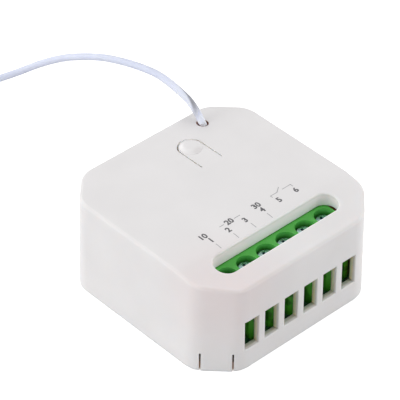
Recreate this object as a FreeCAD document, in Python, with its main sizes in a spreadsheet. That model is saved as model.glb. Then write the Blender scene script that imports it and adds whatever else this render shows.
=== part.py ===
import FreeCAD, Part
import math
import os
import Sketcher

# Smart receiver module: a small in-wall box with a six-pole screw terminal strip along its front,
# a tongue button in its roof and a wire antenna. Millimetres, +Z up, origin at the middle of the underside,
# front to -Y.

POLES = 6
SIDES = ((1, 1), (-1, 1), (-1, -1), (1, -1))

# How near an edge or a face lies to the place it is picked by, and how squarely a face points up
NEAR = 0.01
UPWARD_SHARE = 0.9

SIZES = {
    # Housing
    "body_width": 45.0,
    "body_depth": 45.0,
    "body_height": 21.0,
    "draft_angle": 1.0,
    "corner_cut": 6.3,
    "corner_blend": 5.5,
    "wall": 1.4,
    "top_edge_radius": 0.7,
    "slope_length": 11.53,
    "slope_drop": 1.7,
    "crease_radius": 8.0,
    # Snap tabs in the lower corners
    "tab_slit_spacing": 6.2,
    "tab_slit_width": 0.32,
    "tab_slit_height": 4.2,
    "latch_depth": 0.45,
    "latch_height": 0.8,
    "latch_level": 1.5,
    "latch_clearance": 0.15,
    # Base cover
    "cover_clearance": 0.15,
    "cover_thickness": 1.2,
    "cover_rim_height": 3.0,
    "cover_rim": 0.7,
    "slit_notch_side": 0.2,
    "slit_notch_depth": 1.1,
    "standoff_radius": 1.5,
    "standoff_across": 16.4,
    "standoff_back": 14.4,
    # Circuit board
    "board_level": 2.0,
    "board_thickness": 1.6,
    "board_clearance": 0.2,
    "post_radius": 1.2,
    "post_across": 18.6,
    "post_back": 13.4,
    "post_clearance": 0.15,
    # Terminal strip
    "pole_pitch": 5.08,
    "row_offset": -0.46,
    "screw_inset": 7.16,
    "block_gap": 0.3,
    "block_depth": 10.0,
    "block_headroom": 0.3,
    "block_step_depth": 0.3,
    "block_step_height": 8.2,
    "block_notch_length": 1.05,
    "block_notch_depth": 1.1,
    "well_radius": 2.1,
    "head_drop": 1.1,
    "head_radius": 1.9,
    "head_height": 1.8,
    "head_recess": 0.8,
    "recess_width": 0.6,
    "recess_cross": 2.3,
    "shank_radius": 1.25,
    "ledge": 0.5,
    "ledge_hole_radius": 1.45,
    "thread_clearance": 0.06,
    "entry_width": 4.5,
    "entry_height": 7.3,
    "entry_funnel": 0.65,
    "entry_funnel_depth": 1.1,
    "cage_setback": 2.35,
    "cage_clearance": 0.1,
    "cage_width": 3.9,
    "cage_depth": 5.2,
    "cage_height": 6.6,
    "cage_side_wall": 0.6,
    "cage_floor": 0.8,
    "cage_head": 1.2,
    "cage_rest_gap": 0.15,
    "bar_width": 2.5,
    "bar_thickness": 0.8,
    "riser_thickness": 0.6,
    "riser_gap": 0.4,
    "pin_width": 1.0,
    "pin_length": 0.45,
    "pin_hole_radius": 0.7,
    # Screw slot and wire windows
    "slot_width": 5.0,
    "slot_extra": 0.4,
    "slot_shift": 0.2,
    "slot_setback": 0.32,
    "slot_bevel": 0.2,
    "collar_wall": 0.8,
    "collar_clearance": 0.15,
    "window_width": 3.5,
    "window_height": 6.7,
    "window_level": 4.53,
    "window_bevel": 0.12,
    # Tongue button
    "button_across": 4.7,
    "button_back": 13.9,
    "tongue_radius": 2.6,
    "tongue_slit": 0.3,
    "tongue_arm": 6.0,
    "pad_radius": 2.25,
    "pad_height": 0.45,
    "pad_rim": 0.05,
    "pad_skirt_width": 0.8,
    "pad_rounding": 1.2,
    "stem_radius": 1.2,
    "stem_gap": 0.15,
    # Key switch
    "key_side": 6.0,
    "key_height": 3.5,
    "key_total_height": 9.5,
    "key_cover": 0.3,
    "plunger_radius": 1.65,
    "plunger_clearance": 0.08,
    "plunger_seat": 1.2,
    "plunger_travel": 0.5,
    # Antenna wire
    "wire_radius": 0.75,
    "wire_hole_radius": 1.15,
    "lead_straight": 9.0,
    # Relay
    "relay_wall_gap": 1.8,
    "relay_choke_gap": 0.9,
    "relay_front_gap": 0.9,
    "relay_back_gap": 1.1,
    "relay_headroom": 0.8,
    "relay_rounding": 0.6,
    # Brick red film capacitor beside the terminal strip
    "film_gap": 0.4,
    "film_front_gap": 3.8,
    "film_length": 10.6,
    "film_wall_gap": 2.12,
    "film_top_gap": 0.6,
    "film_rounding": 1.5,
    "film_lead_height": 0.8,
    "film_lead_spacing": 7.5,
    "film_lead_radius": 0.4,
    # Mains supply
    "fuse_wall_gap": 1.9,
    "fuse_can_gap": 1.1,
    "fuse_length": 8.6,
    "fuse_radius": 1.5,
    "fuse_lead_span": 11.6,
    "fuse_lead_radius": 0.35,
    "varistor_across": 4.4,
    "varistor_radius": 3.9,
    "varistor_thickness": 3.4,
    "varistor_lead_height": 0.7,
    "varistor_lead_spacing": 5.0,
    "varistor_lead_radius": 0.35,
    "bridge_fuse_gap": 0.6,
    "bridge_can_gap": 1.25,
    "bridge_length": 4.8,
    "bridge_width": 4.0,
    "bridge_height": 2.4,
    "main_can_across": -11.4,
    "main_can_wall_gap": 2.4,
    "main_can_radius": 4.0,
    "main_can_height": 12.0,
    "output_can_across": -3.3,
    "output_can_wall_gap": 2.55,
    "output_can_radius": 3.15,
    "output_can_height": 9.0,
    "can_rounding": 0.5,
    "choke_across": 4.4,
    "choke_radius": 3.8,
    "choke_height": 9.4,
    "choke_flange": 1.0,
    "choke_waist": 0.5,
    "converter_across": 11.5,
    "converter_gap": 0.8,
    # Relay drive
    "diode_across": 4.2,
    "diode_length": 4.3,
    "diode_width": 2.4,
    "diode_height": 2.1,
    "transistor_across": 4.4,
    "transistor_length": 2.9,
    "transistor_width": 1.3,
    "transistor_height": 1.0,
    # Small chips
    "chip_length": 4.9,
    "chip_width": 3.9,
    "chip_height": 1.5,
    "chip_lead_pitch": 1.27,
    "chip_lead_width": 0.4,
    "chip_lead_span": 6.0,
    "chip_lead_height": 0.3,
    # Receiver board
    "radio_across": 13.0,
    "radio_back": 5.6,
    "radio_width": 8.0,
    "radio_length": 19.2,
    "radio_thickness": 0.8,
    "header_height": 2.5,
    "header_width": 2.2,
    "header_length": 12.7,
    "header_foot_length": 5.1,
    "radio_chip_side": 5.0,
    "radio_chip_height": 0.9,
    "radio_chip_back": 4.0,
    "crystal_length": 3.2,
    "crystal_width": 2.5,
    "crystal_height": 0.8,
    "crystal_back": 8.6,
    "controller_back": -1.5,
}

# The free antenna wire leaves the roof hole, arches over behind the box and comes down to the surface.
WIRE_ROUTE = (
    (11.65, 18.1, 21.0),
    (11.0, 19.8, 24.7),
    (9.95, 23.4, 27.1),
    (9.8, 28.4, 27.9),
    (11.2, 35.6, 25.3),
    (13.9, 45.2, 20.4),
    (17.3, 56.8, 13.6),
    (16.1, 68.9, 7.2),
    (7.7, 77.4, 0.9),
    (-5.4, 81.7, 0.8),
)
ARC_SHARE = 0.45

doc = FreeCAD.newDocument("smart_receiver_module")
sheet = doc.addObject("Spreadsheet::Sheet", "Sizes")
for row, (alias, value) in enumerate(SIZES.items(), start=1):
    sheet.set(f"A{row}", alias)
    sheet.set(f"B{row}", str(value))
    sheet.setAlias(f"B{row}", alias)
doc.recompute()

# Places that several pieces share, worked out from the sizes above
HALF_WIDTH = "(Sizes.body_width / 2)"
HALF_DEPTH = "(Sizes.body_depth / 2)"
ROOF_INSIDE = "(Sizes.body_height - Sizes.wall)"
BOARD_TOP = "(Sizes.board_level + Sizes.board_thickness)"
COVER_INSET = "(Sizes.wall + Sizes.cover_clearance)"
RIM_INSET = f"({COVER_INSET} + Sizes.cover_rim)"
BOARD_INSET = f"({RIM_INSET} + Sizes.board_clearance)"
ROW_LENGTH = f"({POLES} * Sizes.pole_pitch)"
FIRST_POLE = f"(Sizes.row_offset - {POLES - 1} * Sizes.pole_pitch / 2)"
SCREW_LINE = f"(Sizes.screw_inset - {HALF_DEPTH})"
SLOT_ACROSS = "(Sizes.row_offset + Sizes.slot_shift)"
SLOT_LINE = f"({SCREW_LINE} + Sizes.slot_setback)"
BLOCK_FRONT = f"(Sizes.wall + Sizes.block_gap - {HALF_DEPTH})"
BLOCK_BACK = f"({BLOCK_FRONT} + Sizes.block_depth)"
BLOCK_TOP = "(Sizes.body_height - Sizes.slope_drop - Sizes.wall - Sizes.block_headroom)"
BLOCK_END = f"(Sizes.row_offset + {ROW_LENGTH} / 2)"
HEAD_TOP = f"({BLOCK_TOP} - Sizes.head_drop)"
HEAD_FOOT = f"({HEAD_TOP} - Sizes.head_height)"
CAVITY_TOP = f"({HEAD_FOOT} - Sizes.ledge)"
CAGE_FRONT = f"({BLOCK_FRONT} + Sizes.cage_setback)"
CAGE_BACK = f"({CAGE_FRONT} + Sizes.cage_depth)"
CAGE_FOOT = f"({BOARD_TOP} + Sizes.cage_rest_gap)"
CAGE_TOP = f"({CAGE_FOOT} + Sizes.cage_height)"
BAR_TOP = f"({CAGE_TOP} - Sizes.cage_head - Sizes.cage_clearance)"
RISER_FRONT = f"({CAGE_BACK} + Sizes.riser_gap)"
RISER_BACK = f"({RISER_FRONT} + Sizes.riser_thickness)"
CAVITY_FRONT = f"({CAGE_FRONT} - Sizes.cage_clearance)"
CAVITY_BACK = f"({RISER_BACK} + Sizes.cage_clearance)"
PLUNGER_TOP = f"({BOARD_TOP} + Sizes.key_total_height)"
KEY_TOP = f"({BOARD_TOP} + Sizes.key_height)"
TONGUE_ROOT = "(Sizes.button_back - Sizes.tongue_arm)"
RADIO_FOOT = f"({BOARD_TOP} + Sizes.header_height)"
RADIO_TOP = f"({RADIO_FOOT} + Sizes.radio_thickness)"
MAIN_CAN_BACK = f"({HALF_DEPTH} - Sizes.wall - Sizes.main_can_wall_gap - Sizes.main_can_radius)"
OUTPUT_CAN_BACK = f"({HALF_DEPTH} - Sizes.wall - Sizes.output_can_wall_gap - Sizes.output_can_radius)"
FUSE_ACROSS = f"(Sizes.wall + Sizes.fuse_wall_gap + Sizes.fuse_lead_span / 2 - {HALF_WIDTH})"
FUSE_BACK = f"({MAIN_CAN_BACK} - Sizes.main_can_radius - Sizes.fuse_can_gap - Sizes.fuse_radius)"
RELAY_LEFT = f"(Sizes.wall + Sizes.relay_wall_gap - {HALF_WIDTH})"
RELAY_RIGHT = "(Sizes.choke_across - Sizes.choke_radius - Sizes.relay_choke_gap)"
RELAY_FRONT = f"({BLOCK_BACK} + Sizes.relay_front_gap)"
RELAY_BACK = f"({FUSE_BACK} - Sizes.fuse_radius - Sizes.relay_back_gap)"

# The middle column stands between the terminal strip and the key switch, with equal gaps
COLUMN_START = BLOCK_BACK
COLUMN_END = "(Sizes.button_back - Sizes.key_side / 2)"
COLUMN = ("2 * Sizes.choke_radius", "Sizes.diode_width", "Sizes.varistor_thickness", "Sizes.transistor_width")
COLUMN_GAP = f"(({COLUMN_END} - {COLUMN_START} - ({' + '.join(COLUMN)})) / {len(COLUMN) + 1})"

parts = []


def number(expression):
    """Value of an expression in the sizes."""
    return float(sheet.evalExpression(expression))


def column_place(index):
    """Place along of one piece of the middle column, counted from 0 at the front."""
    before = " + ".join(["0", *COLUMN[:index]])
    return f"({COLUMN_START} + {index + 1} * {COLUMN_GAP} + {before} + {COLUMN[index]} / 2)"


def pole_place(index):
    """Place across of one pole, counted from 0 at the left."""
    return f"({FIRST_POLE} + {index} * Sizes.pole_pitch)"


def new_body(name):
    """Body of one piece, kept as a part."""
    body = doc.addObject("PartDesign::Body", name)
    parts.append(body)
    return body


def origin_piece(body, role):
    """Plane or axis of the body's own origin."""
    return [feature for feature in body.Origin.OriginFeatures if feature.Role == role][0]


def new_sketch(body, name, plane="XY_Plane", lift="0"):
    """Sketch on an origin plane of the body, lifted along the plane's normal."""
    sketch = body.newObject("Sketcher::SketchObject", name)
    sketch.AttachmentSupport = (origin_piece(body, plane), [""])
    sketch.MapMode = "FlatFace"
    sketch.setExpression("AttachmentOffset.Base.z", lift)
    return sketch


def tie(sketch, kind, geometry, point, expression):
    """Place one coordinate of a point, from the sketch's origin."""
    rule = Sketcher.Constraint(kind, -1, 1, geometry, point, number(expression))
    sketch.setExpression(f"Constraints[{sketch.addConstraint(rule)}]", expression)


def tie_point(sketch, geometry, point, across, along):
    """Place a point by both coordinates."""
    tie(sketch, "DistanceX", geometry, point, across)
    tie(sketch, "DistanceY", geometry, point, along)


def tie_radius(sketch, geometry, radius):
    """Bind the radius of a circle or arc."""
    rule = Sketcher.Constraint("Radius", geometry, number(radius))
    sketch.setExpression(f"Constraints[{sketch.addConstraint(rule)}]", radius)


def add_outline(sketch, corners):
    """Closed outline of straight lines through corners given as pairs of expressions."""
    first = sketch.GeometryCount
    points = [FreeCAD.Vector(number(x), number(y), 0) for x, y in corners]
    for index, point in enumerate(points):
        sketch.addGeometry(Part.LineSegment(point, points[(index + 1) % len(points)]), False)
    for index, (x, y) in enumerate(corners):
        following = first + (index + 1) % len(corners)
        sketch.addConstraint(Sketcher.Constraint("Coincident", first + index, 2, following, 1))
        tie_point(sketch, first + index, 1, x, y)


def add_rectangle(sketch, x_low, x_high, y_low, y_high):
    """Rectangle between two places across and two along."""
    add_outline(sketch, [(x_low, y_low), (x_high, y_low), (x_high, y_high), (x_low, y_high)])


def add_circle(sketch, x, y, radius):
    """Circle at a place."""
    centre = FreeCAD.Vector(number(x), number(y), 0)
    geometry = sketch.addGeometry(Part.Circle(centre, FreeCAD.Vector(0, 0, 1), number(radius)), False)
    tie_point(sketch, geometry, 3, x, y)
    tie_radius(sketch, geometry, radius)


def add_half_turn(sketch, x, y, radius, start_angle):
    """Half circle about a place, from a start angle in degrees, anticlockwise."""
    circle = Part.Circle(FreeCAD.Vector(number(x), number(y), 0), FreeCAD.Vector(0, 0, 1), number(radius))
    start = math.radians(start_angle)
    geometry = sketch.addGeometry(Part.ArcOfCircle(circle, start, start + math.pi), False)
    tie_point(sketch, geometry, 3, x, y)
    return geometry


def add_line(sketch, start, end):
    """Plain line between two points."""
    return sketch.addGeometry(Part.LineSegment(FreeCAD.Vector(*start, 0), FreeCAD.Vector(*end, 0)), False)


def join_smooth(sketch, geometry, point, other, other_point):
    """Join two ends so that they run into each other without a corner."""
    sketch.addConstraint(Sketcher.Constraint("Tangent", geometry, point, other, other_point))


def add_slot_outline(sketch, x, y, length, width):
    """Slot along X with round ends."""
    radius = f"({width}) / 2"
    reach = f"(({length}) - ({width})) / 2"
    right_centre = f"{x} + {reach}"
    left_centre = f"{x} - {reach}"
    right = add_half_turn(sketch, right_centre, y, radius, -90)
    left = add_half_turn(sketch, left_centre, y, radius, 90)
    low = number(y) - number(radius)
    high = number(y) + number(radius)
    upper = add_line(sketch, (number(right_centre), high), (number(left_centre), high))
    lower = add_line(sketch, (number(left_centre), low), (number(right_centre), low))
    join_smooth(sketch, right, 2, upper, 1)
    join_smooth(sketch, upper, 2, left, 1)
    join_smooth(sketch, left, 2, lower, 1)
    join_smooth(sketch, lower, 2, right, 1)
    tie_radius(sketch, right, radius)


def add_tongue_outline(sketch, radius):
    """Tongue with a straight root to the front and a round end to the back."""
    x = "Sizes.button_across"
    y = "Sizes.button_back"
    end = add_half_turn(sketch, x, y, radius, 0)
    right = number(x) + number(radius)
    left = number(x) - number(radius)
    root = number(TONGUE_ROOT)
    left_arm = add_line(sketch, (left, number(y)), (left, root))
    root_line = add_line(sketch, (left, root), (right, root))
    right_arm = add_line(sketch, (right, root), (right, number(y)))
    join_smooth(sketch, end, 2, left_arm, 1)
    join_smooth(sketch, right_arm, 2, end, 1)
    sketch.addConstraint(Sketcher.Constraint("Coincident", left_arm, 2, root_line, 1))
    sketch.addConstraint(Sketcher.Constraint("Coincident", root_line, 2, right_arm, 1))
    sketch.addConstraint(Sketcher.Constraint("Vertical", left_arm))
    sketch.addConstraint(Sketcher.Constraint("Horizontal", root_line))
    tie(sketch, "DistanceY", root_line, 1, TONGUE_ROOT)
    tie_radius(sketch, end, radius)


def add_feature(body, kind, name, sketch, length, backwards=False):
    """Pad or pocket of a sketch to a length, or right through when no length is given."""
    feature = body.newObject(f"PartDesign::{kind}", name)
    feature.Profile = sketch
    if length is None:
        feature.Type = "ThroughAll"
    else:
        feature.setExpression("Length", length)
    feature.Reversed = backwards
    sketch.Visibility = False
    return feature


def add_pad(body, name, sketch, length, backwards=False):
    """Raise a sketch into a solid."""
    return add_feature(body, "Pad", name, sketch, length, backwards)


def add_pocket(body, name, sketch, length=None, backwards=False):
    """Cut a sketch out of the solid, and make sure that it did cut."""
    doc.recompute()
    before = body.Shape.Volume
    pocket = add_feature(body, "Pocket", name, sketch, length, backwards)
    doc.recompute()
    if body.Shape.Volume >= before:
        raise RuntimeError(f"{name} cuts nothing")
    return pocket


def edge_names(shape, wanted):
    """Names of the edges that pass a test."""
    return [f"Edge{place}" for place, edge in enumerate(shape.Edges, start=1) if wanted(edge)]


def face_names(shape, wanted):
    """Names of the faces that pass a test."""
    return [f"Face{place}" for place, face in enumerate(shape.Faces, start=1) if wanted(face)]


def add_edge_feature(body, kind, name, base, size_name, size, wanted):
    """Fillet or chamfer on the edges that pass a test."""
    doc.recompute()
    feature = body.newObject(f"PartDesign::{kind}", name)
    feature.Base = (base, edge_names(base.Shape, wanted))
    feature.setExpression(size_name, size)
    doc.recompute()
    return feature


def upright(edge):
    """An edge that climbs, leaning or not."""
    ends = edge.Vertexes
    return abs(ends[0].Z - ends[-1].Z) > 0.8 * edge.Length


def repeat_poles(body, name, originals):
    """Repeat features once for each pole, along the row."""
    pattern = body.newObject("PartDesign::LinearPattern", name)
    pattern.Originals = originals
    pattern.Direction = (origin_piece(body, "X_Axis"), [""])
    pattern.setExpression("Length", f"{POLES - 1} * Sizes.pole_pitch")
    pattern.Occurrences = POLES
    body.Tip = pattern
    doc.recompute()
    return pattern


def mirror_to_corners(body, name, originals):
    """Repeat features made in one corner in the other three."""
    both = body.newObject("PartDesign::MultiTransform", name)
    both.Originals = originals
    steps = []
    for role in ("YZ_Plane", "XZ_Plane"):
        step = doc.addObject("PartDesign::Mirrored", f"{name}_{role[:2].lower()}")
        step.MirrorPlane = (origin_piece(body, role), [""])
        body.addObject(step)
        steps.append(step)
    both.Transformations = steps
    body.Tip = both
    doc.recompute()
    return both


def inset_plate(body, name, inset, level, thickness):
    """Plate with the housing's outline drawn in by an inset, its corners cut and blended alike."""
    across = f"({HALF_WIDTH} - {inset})"
    along = f"({HALF_DEPTH} - {inset})"
    sketch = new_sketch(body, f"{name}_outline", "XY_Plane", level)
    add_rectangle(sketch, f"-{across}", across, f"-{along}", along)
    plate = add_pad(body, name, sketch, thickness)
    cut = f"Sizes.corner_cut - (2 - sqrt(2)) * {inset}"
    cut_corners = add_edge_feature(body, "Chamfer", f"{name}_cut_corners", plate, "Size", cut, upright)
    blend = f"Sizes.corner_blend - {inset}"
    return add_edge_feature(body, "Fillet", f"{name}_blends", cut_corners, "Radius", blend, upright)


def corner_point(along, inward):
    """Point by the rear right corner cut, along the cut and inward from its outer face at the foot."""
    half = "sqrt(0.5)"
    x = f"{HALF_WIDTH} - Sizes.corner_cut / 2 + ({along}) * {half} - ({inward}) * {half}"
    y = f"{HALF_DEPTH} - Sizes.corner_cut / 2 - ({along}) * {half} - ({inward}) * {half}"
    return (x, y)


def add_corner_strip(sketch, along_low, along_high, inward_low, inward_high):
    """Rectangle that lies square to the rear right corner cut."""
    add_outline(sketch, [
        corner_point(along_low, inward_low),
        corner_point(along_high, inward_low),
        corner_point(along_high, inward_high),
        corner_point(along_low, inward_high),
    ])


def drafted_box(body):
    """Box with cut and blended corners, drafted sides and the sloped front strip of the roof."""
    box = inset_plate(body, "housing_box", "0", "0", "Sizes.body_height")
    height = number("Sizes.body_height")
    draft = body.newObject("PartDesign::Draft", "side_draft")
    draft.Base = (box, face_names(box.Shape, lambda face: abs(face.normalAt(0, 0).z) < NEAR))
    foot = face_names(box.Shape, lambda face: face.CenterOfMass.z < NEAR)
    draft.NeutralPlane = (box, foot)
    draft.setExpression("Angle", "Sizes.draft_angle")
    doc.recompute()
    slope = cut_slope(body, "roof_slope")
    crease = number(f"Sizes.slope_length - {HALF_DEPTH}")

    def on_crease(edge):
        middle = edge.CenterOfMass
        return max(abs(middle.y - crease), abs(middle.z - height), abs(middle.x)) < NEAR

    return add_edge_feature(body, "Fillet", "roof_crease", slope, "Radius", "Sizes.crease_radius", on_crease)


def cut_slope(body, name):
    """Cut the roof's front strip down to its slope."""
    reach = "(Sizes.slope_length + Sizes.wall)"
    crease = f"(Sizes.slope_length - {HALF_DEPTH})"
    sketch = new_sketch(body, f"{name}_side", "YZ_Plane")
    fall = f"Sizes.slope_drop * {reach} / Sizes.slope_length"
    add_outline(sketch, [
        (crease, "Sizes.body_height"),
        (f"{crease} - {reach}", f"Sizes.body_height - {fall}"),
        (f"{crease} - {reach}", "Sizes.body_height + Sizes.wall"),
        (crease, "Sizes.body_height + Sizes.wall"),
    ])
    slope = add_feature(body, "Pocket", name, sketch, None)
    slope.Midplane = True
    doc.recompute()
    return slope


def roof_rim(shape):
    """Names of the outer edges of the roof."""
    middle = shape.BoundBox.ZMax / 2
    upward = [face for face in shape.Faces if face.normalAt(0, 0).z > UPWARD_SHARE]
    roof = [face for face in upward if face.CenterOfMass.z > middle]
    counts = {}
    for face in roof:
        for edge in face.Edges:
            counts[edge.hashCode()] = counts.get(edge.hashCode(), 0) + 1
    return edge_names(shape, lambda edge: counts.get(edge.hashCode(), 0) == 1)


def make_upper_housing():
    """White moulded box, open below, with its slot, windows, tongue opening and snap tabs."""
    body = new_body("upper_housing")
    sloped = drafted_box(body)
    shell = body.newObject("PartDesign::Thickness", "walls")
    shell.Base = (sloped, face_names(sloped.Shape, lambda face: face.CenterOfMass.z < NEAR))
    shell.setExpression("Value", "Sizes.wall")
    shell.Join = "Intersection"
    shell.Reversed = True
    doc.recompute()

    collar_foot = f"{BLOCK_TOP} + Sizes.collar_clearance"
    slot_length = f"({ROW_LENGTH} + Sizes.slot_extra)"
    collar_sketch = new_sketch(body, "slot_collar_outline", "XY_Plane", collar_foot)
    collar_length = f"{slot_length} + 2 * Sizes.collar_wall"
    collar_width = "Sizes.slot_width + 2 * Sizes.collar_wall"
    add_slot_outline(collar_sketch, SLOT_ACROSS, SLOT_LINE, collar_length, collar_width)
    add_pad(body, "slot_collar", collar_sketch, f"Sizes.body_height - ({collar_foot})")
    doc.recompute()
    sloped = cut_slope(body, "collar_slope")

    rim = body.newObject("PartDesign::Fillet", "roof_edge")
    rim.Base = (sloped, roof_rim(sloped.Shape))
    rim.setExpression("Radius", "Sizes.top_edge_radius")
    doc.recompute()

    posts = new_sketch(body, "post_circles", "XY_Plane", f"{BOARD_TOP} + Sizes.post_clearance")
    for side in ("", "-"):
        add_circle(posts, f"{side}Sizes.post_across", "Sizes.post_back", "Sizes.post_radius")
    add_pad(body, "posts", posts, f"{ROOF_INSIDE} + Sizes.wall / 2 - {BOARD_TOP} - Sizes.post_clearance")

    slot = new_sketch(body, "slot_outline")
    add_slot_outline(slot, SLOT_ACROSS, SLOT_LINE, slot_length, "Sizes.slot_width")
    slot_cut = add_pocket(body, "slot", slot, None, backwards=True)
    slot_middle = number(SLOT_ACROSS)
    slot_end = number(f"{slot_length} / 2") + NEAR
    slot_side = number("Sizes.slot_width / 2") + NEAR
    roof_foot = number(f"{ROOF_INSIDE} - Sizes.slope_drop")

    def on_slot_rim(edge):
        inside = abs(edge.CenterOfMass.x - slot_middle) < slot_end
        beside = abs(edge.CenterOfMass.y - number(SLOT_LINE)) < slot_side
        return inside and beside and edge.BoundBox.ZMin > roof_foot and edge.BoundBox.XLength > NEAR

    add_edge_feature(body, "Chamfer", "slot_rim", slot_cut, "Size", "Sizes.slot_bevel", on_slot_rim)

    tongue_opening = new_sketch(body, "tongue_opening_outline", "XY_Plane", f"{ROOF_INSIDE} - Sizes.wall / 2")
    add_tongue_outline(tongue_opening, "Sizes.tongue_radius + Sizes.tongue_slit / 2")
    add_pocket(body, "tongue_opening", tongue_opening, None, backwards=True)

    make_wire_hole(body)

    window = new_sketch(body, "window_outline", "XZ_Plane", f"{HALF_DEPTH} - 2 * Sizes.wall")
    add_rectangle(
        window,
        f"{FIRST_POLE} - Sizes.window_width / 2",
        f"{FIRST_POLE} + Sizes.window_width / 2",
        "Sizes.window_level",
        "Sizes.window_level + Sizes.window_height",
    )
    first_window = add_pocket(body, "first_window", window, None, backwards=True)
    windows = repeat_poles(body, "windows", [first_window])
    outside = number(f"Sizes.wall / 2 - {HALF_DEPTH}")
    window_foot = number("Sizes.window_level") - NEAR
    window_top = number("Sizes.window_level + Sizes.window_height") + NEAR

    def on_window_rim(edge):
        box = edge.BoundBox
        return box.YMax < outside and box.ZMin > window_foot and box.ZMax < window_top

    add_edge_feature(body, "Chamfer", "window_rims", windows, "Size", "Sizes.window_bevel", on_window_rim)

    make_snap_tabs(body)


def make_wire_hole(body):
    """Hole in the roof along the antenna's exit."""
    exit_point, exit_way = wire_exit()
    circle = new_sketch(body, "wire_hole_circle")
    turn = FreeCAD.Rotation(FreeCAD.Vector(0, 0, 1), exit_way)
    circle.AttachmentOffset = FreeCAD.Placement(exit_point, turn)
    circle.setExpression("AttachmentOffset.Base.z", "Sizes.body_height")
    add_circle(circle, "0", "0", "Sizes.wire_hole_radius")
    hole = add_feature(body, "Pocket", "wire_hole", circle, "6 * Sizes.wall")
    hole.Midplane = True
    doc.recompute()


def make_snap_tabs(body):
    """Two slits that free a tab in each lower corner, and the groove inside it for the latch bead."""
    outside = "-Sizes.wall"
    inside = "2 * Sizes.wall"
    slits = new_sketch(body, "tab_slit_outlines")
    for side in ("", "-"):
        middle = f"({side}Sizes.tab_slit_spacing / 2)"
        low = f"{middle} - Sizes.tab_slit_width / 2"
        high = f"{middle} + Sizes.tab_slit_width / 2"
        add_corner_strip(slits, low, high, outside, inside)
    slit = add_pocket(body, "tab_slits", slits, "Sizes.tab_slit_height", backwards=True)

    groove_low = "(Sizes.latch_level - Sizes.latch_clearance)"
    groove = new_sketch(body, "latch_groove_outline", "XY_Plane", groove_low)
    reach = "Sizes.tab_slit_spacing / 2"
    add_corner_strip(groove, f"-{reach}", reach, "Sizes.wall - Sizes.latch_depth", inside)
    groove_height = "Sizes.latch_height + 2 * Sizes.latch_clearance"
    latch = add_pocket(body, "latch_groove", groove, groove_height, backwards=True)
    mirror_to_corners(body, "all_tabs", [slit, latch])


def make_base_cover():
    """Plate that closes the box, with a rim, latch beads and standoffs for the board."""
    body = new_body("base_cover")
    inset_plate(body, "cover_plate", COVER_INSET, "0", "Sizes.cover_rim_height")

    across = f"({HALF_WIDTH} - {RIM_INSET})"
    along = f"({HALF_DEPTH} - {RIM_INSET})"
    cut = f"(Sizes.corner_cut - (2 - sqrt(2)) * {RIM_INSET})"
    tray = new_sketch(body, "cover_tray_outline", "XY_Plane", "Sizes.cover_thickness")
    corners = []
    for side_x, side_y in SIDES:
        near_x = (f"{side_x} * {across}", f"{side_y} * ({along} - {cut})")
        near_y = (f"{side_x} * ({across} - {cut})", f"{side_y} * {along}")
        corners += [near_x, near_y] if side_x * side_y > 0 else [near_y, near_x]
    add_outline(tray, corners)
    add_pocket(body, "cover_tray", tray, None, backwards=True)

    notches = new_sketch(body, "slit_notch_outlines")
    for side in ("", "-"):
        middle = f"({side}Sizes.tab_slit_spacing / 2)"
        half_notch = "(Sizes.tab_slit_width / 2 + Sizes.slit_notch_side)"
        notch_sides = (f"{middle} - {half_notch}", f"{middle} + {half_notch}")
        add_corner_strip(notches, *notch_sides, "Sizes.wall / 2", f"{COVER_INSET} + Sizes.slit_notch_depth")
    notch = add_pocket(body, "slit_notches", notches, None, backwards=True)

    stand = new_sketch(body, "standoff_circle", "XY_Plane", "Sizes.cover_thickness")
    add_circle(stand, "Sizes.standoff_across", "Sizes.standoff_back", "Sizes.standoff_radius")
    standoff = add_pad(body, "standoff", stand, "Sizes.board_level - Sizes.cover_thickness")

    bead_sketch = new_sketch(body, "latch_bead_outline", "XY_Plane", "Sizes.latch_level")
    half_bead = "(Sizes.tab_slit_spacing - Sizes.tab_slit_width) / 2 - Sizes.latch_clearance"
    bead_out = "Sizes.wall - Sizes.latch_depth + Sizes.latch_clearance"
    bead_in = f"{COVER_INSET} + Sizes.cover_rim / 2"
    add_corner_strip(bead_sketch, f"-({half_bead})", half_bead, bead_out, bead_in)
    bead = add_pad(body, "latch_bead", bead_sketch, "Sizes.latch_height")
    doc.recompute()
    mirror_to_corners(body, "all_corners", [notch, standoff, bead])


def make_circuit_board():
    """Main board, with holes for the terminal pins."""
    body = new_body("circuit_board")
    inset_plate(body, "board", BOARD_INSET, "Sizes.board_level", "Sizes.board_thickness")
    hole_sketch = new_sketch(body, "pin_hole_circle", "XY_Plane", "Sizes.board_level")
    add_circle(hole_sketch, FIRST_POLE, f"({RISER_FRONT} + {RISER_BACK}) / 2", "Sizes.pin_hole_radius")
    first_hole = add_pocket(body, "first_pin_hole", hole_sketch, None, backwards=True)
    repeat_poles(body, "pin_holes", [first_hole])


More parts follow.
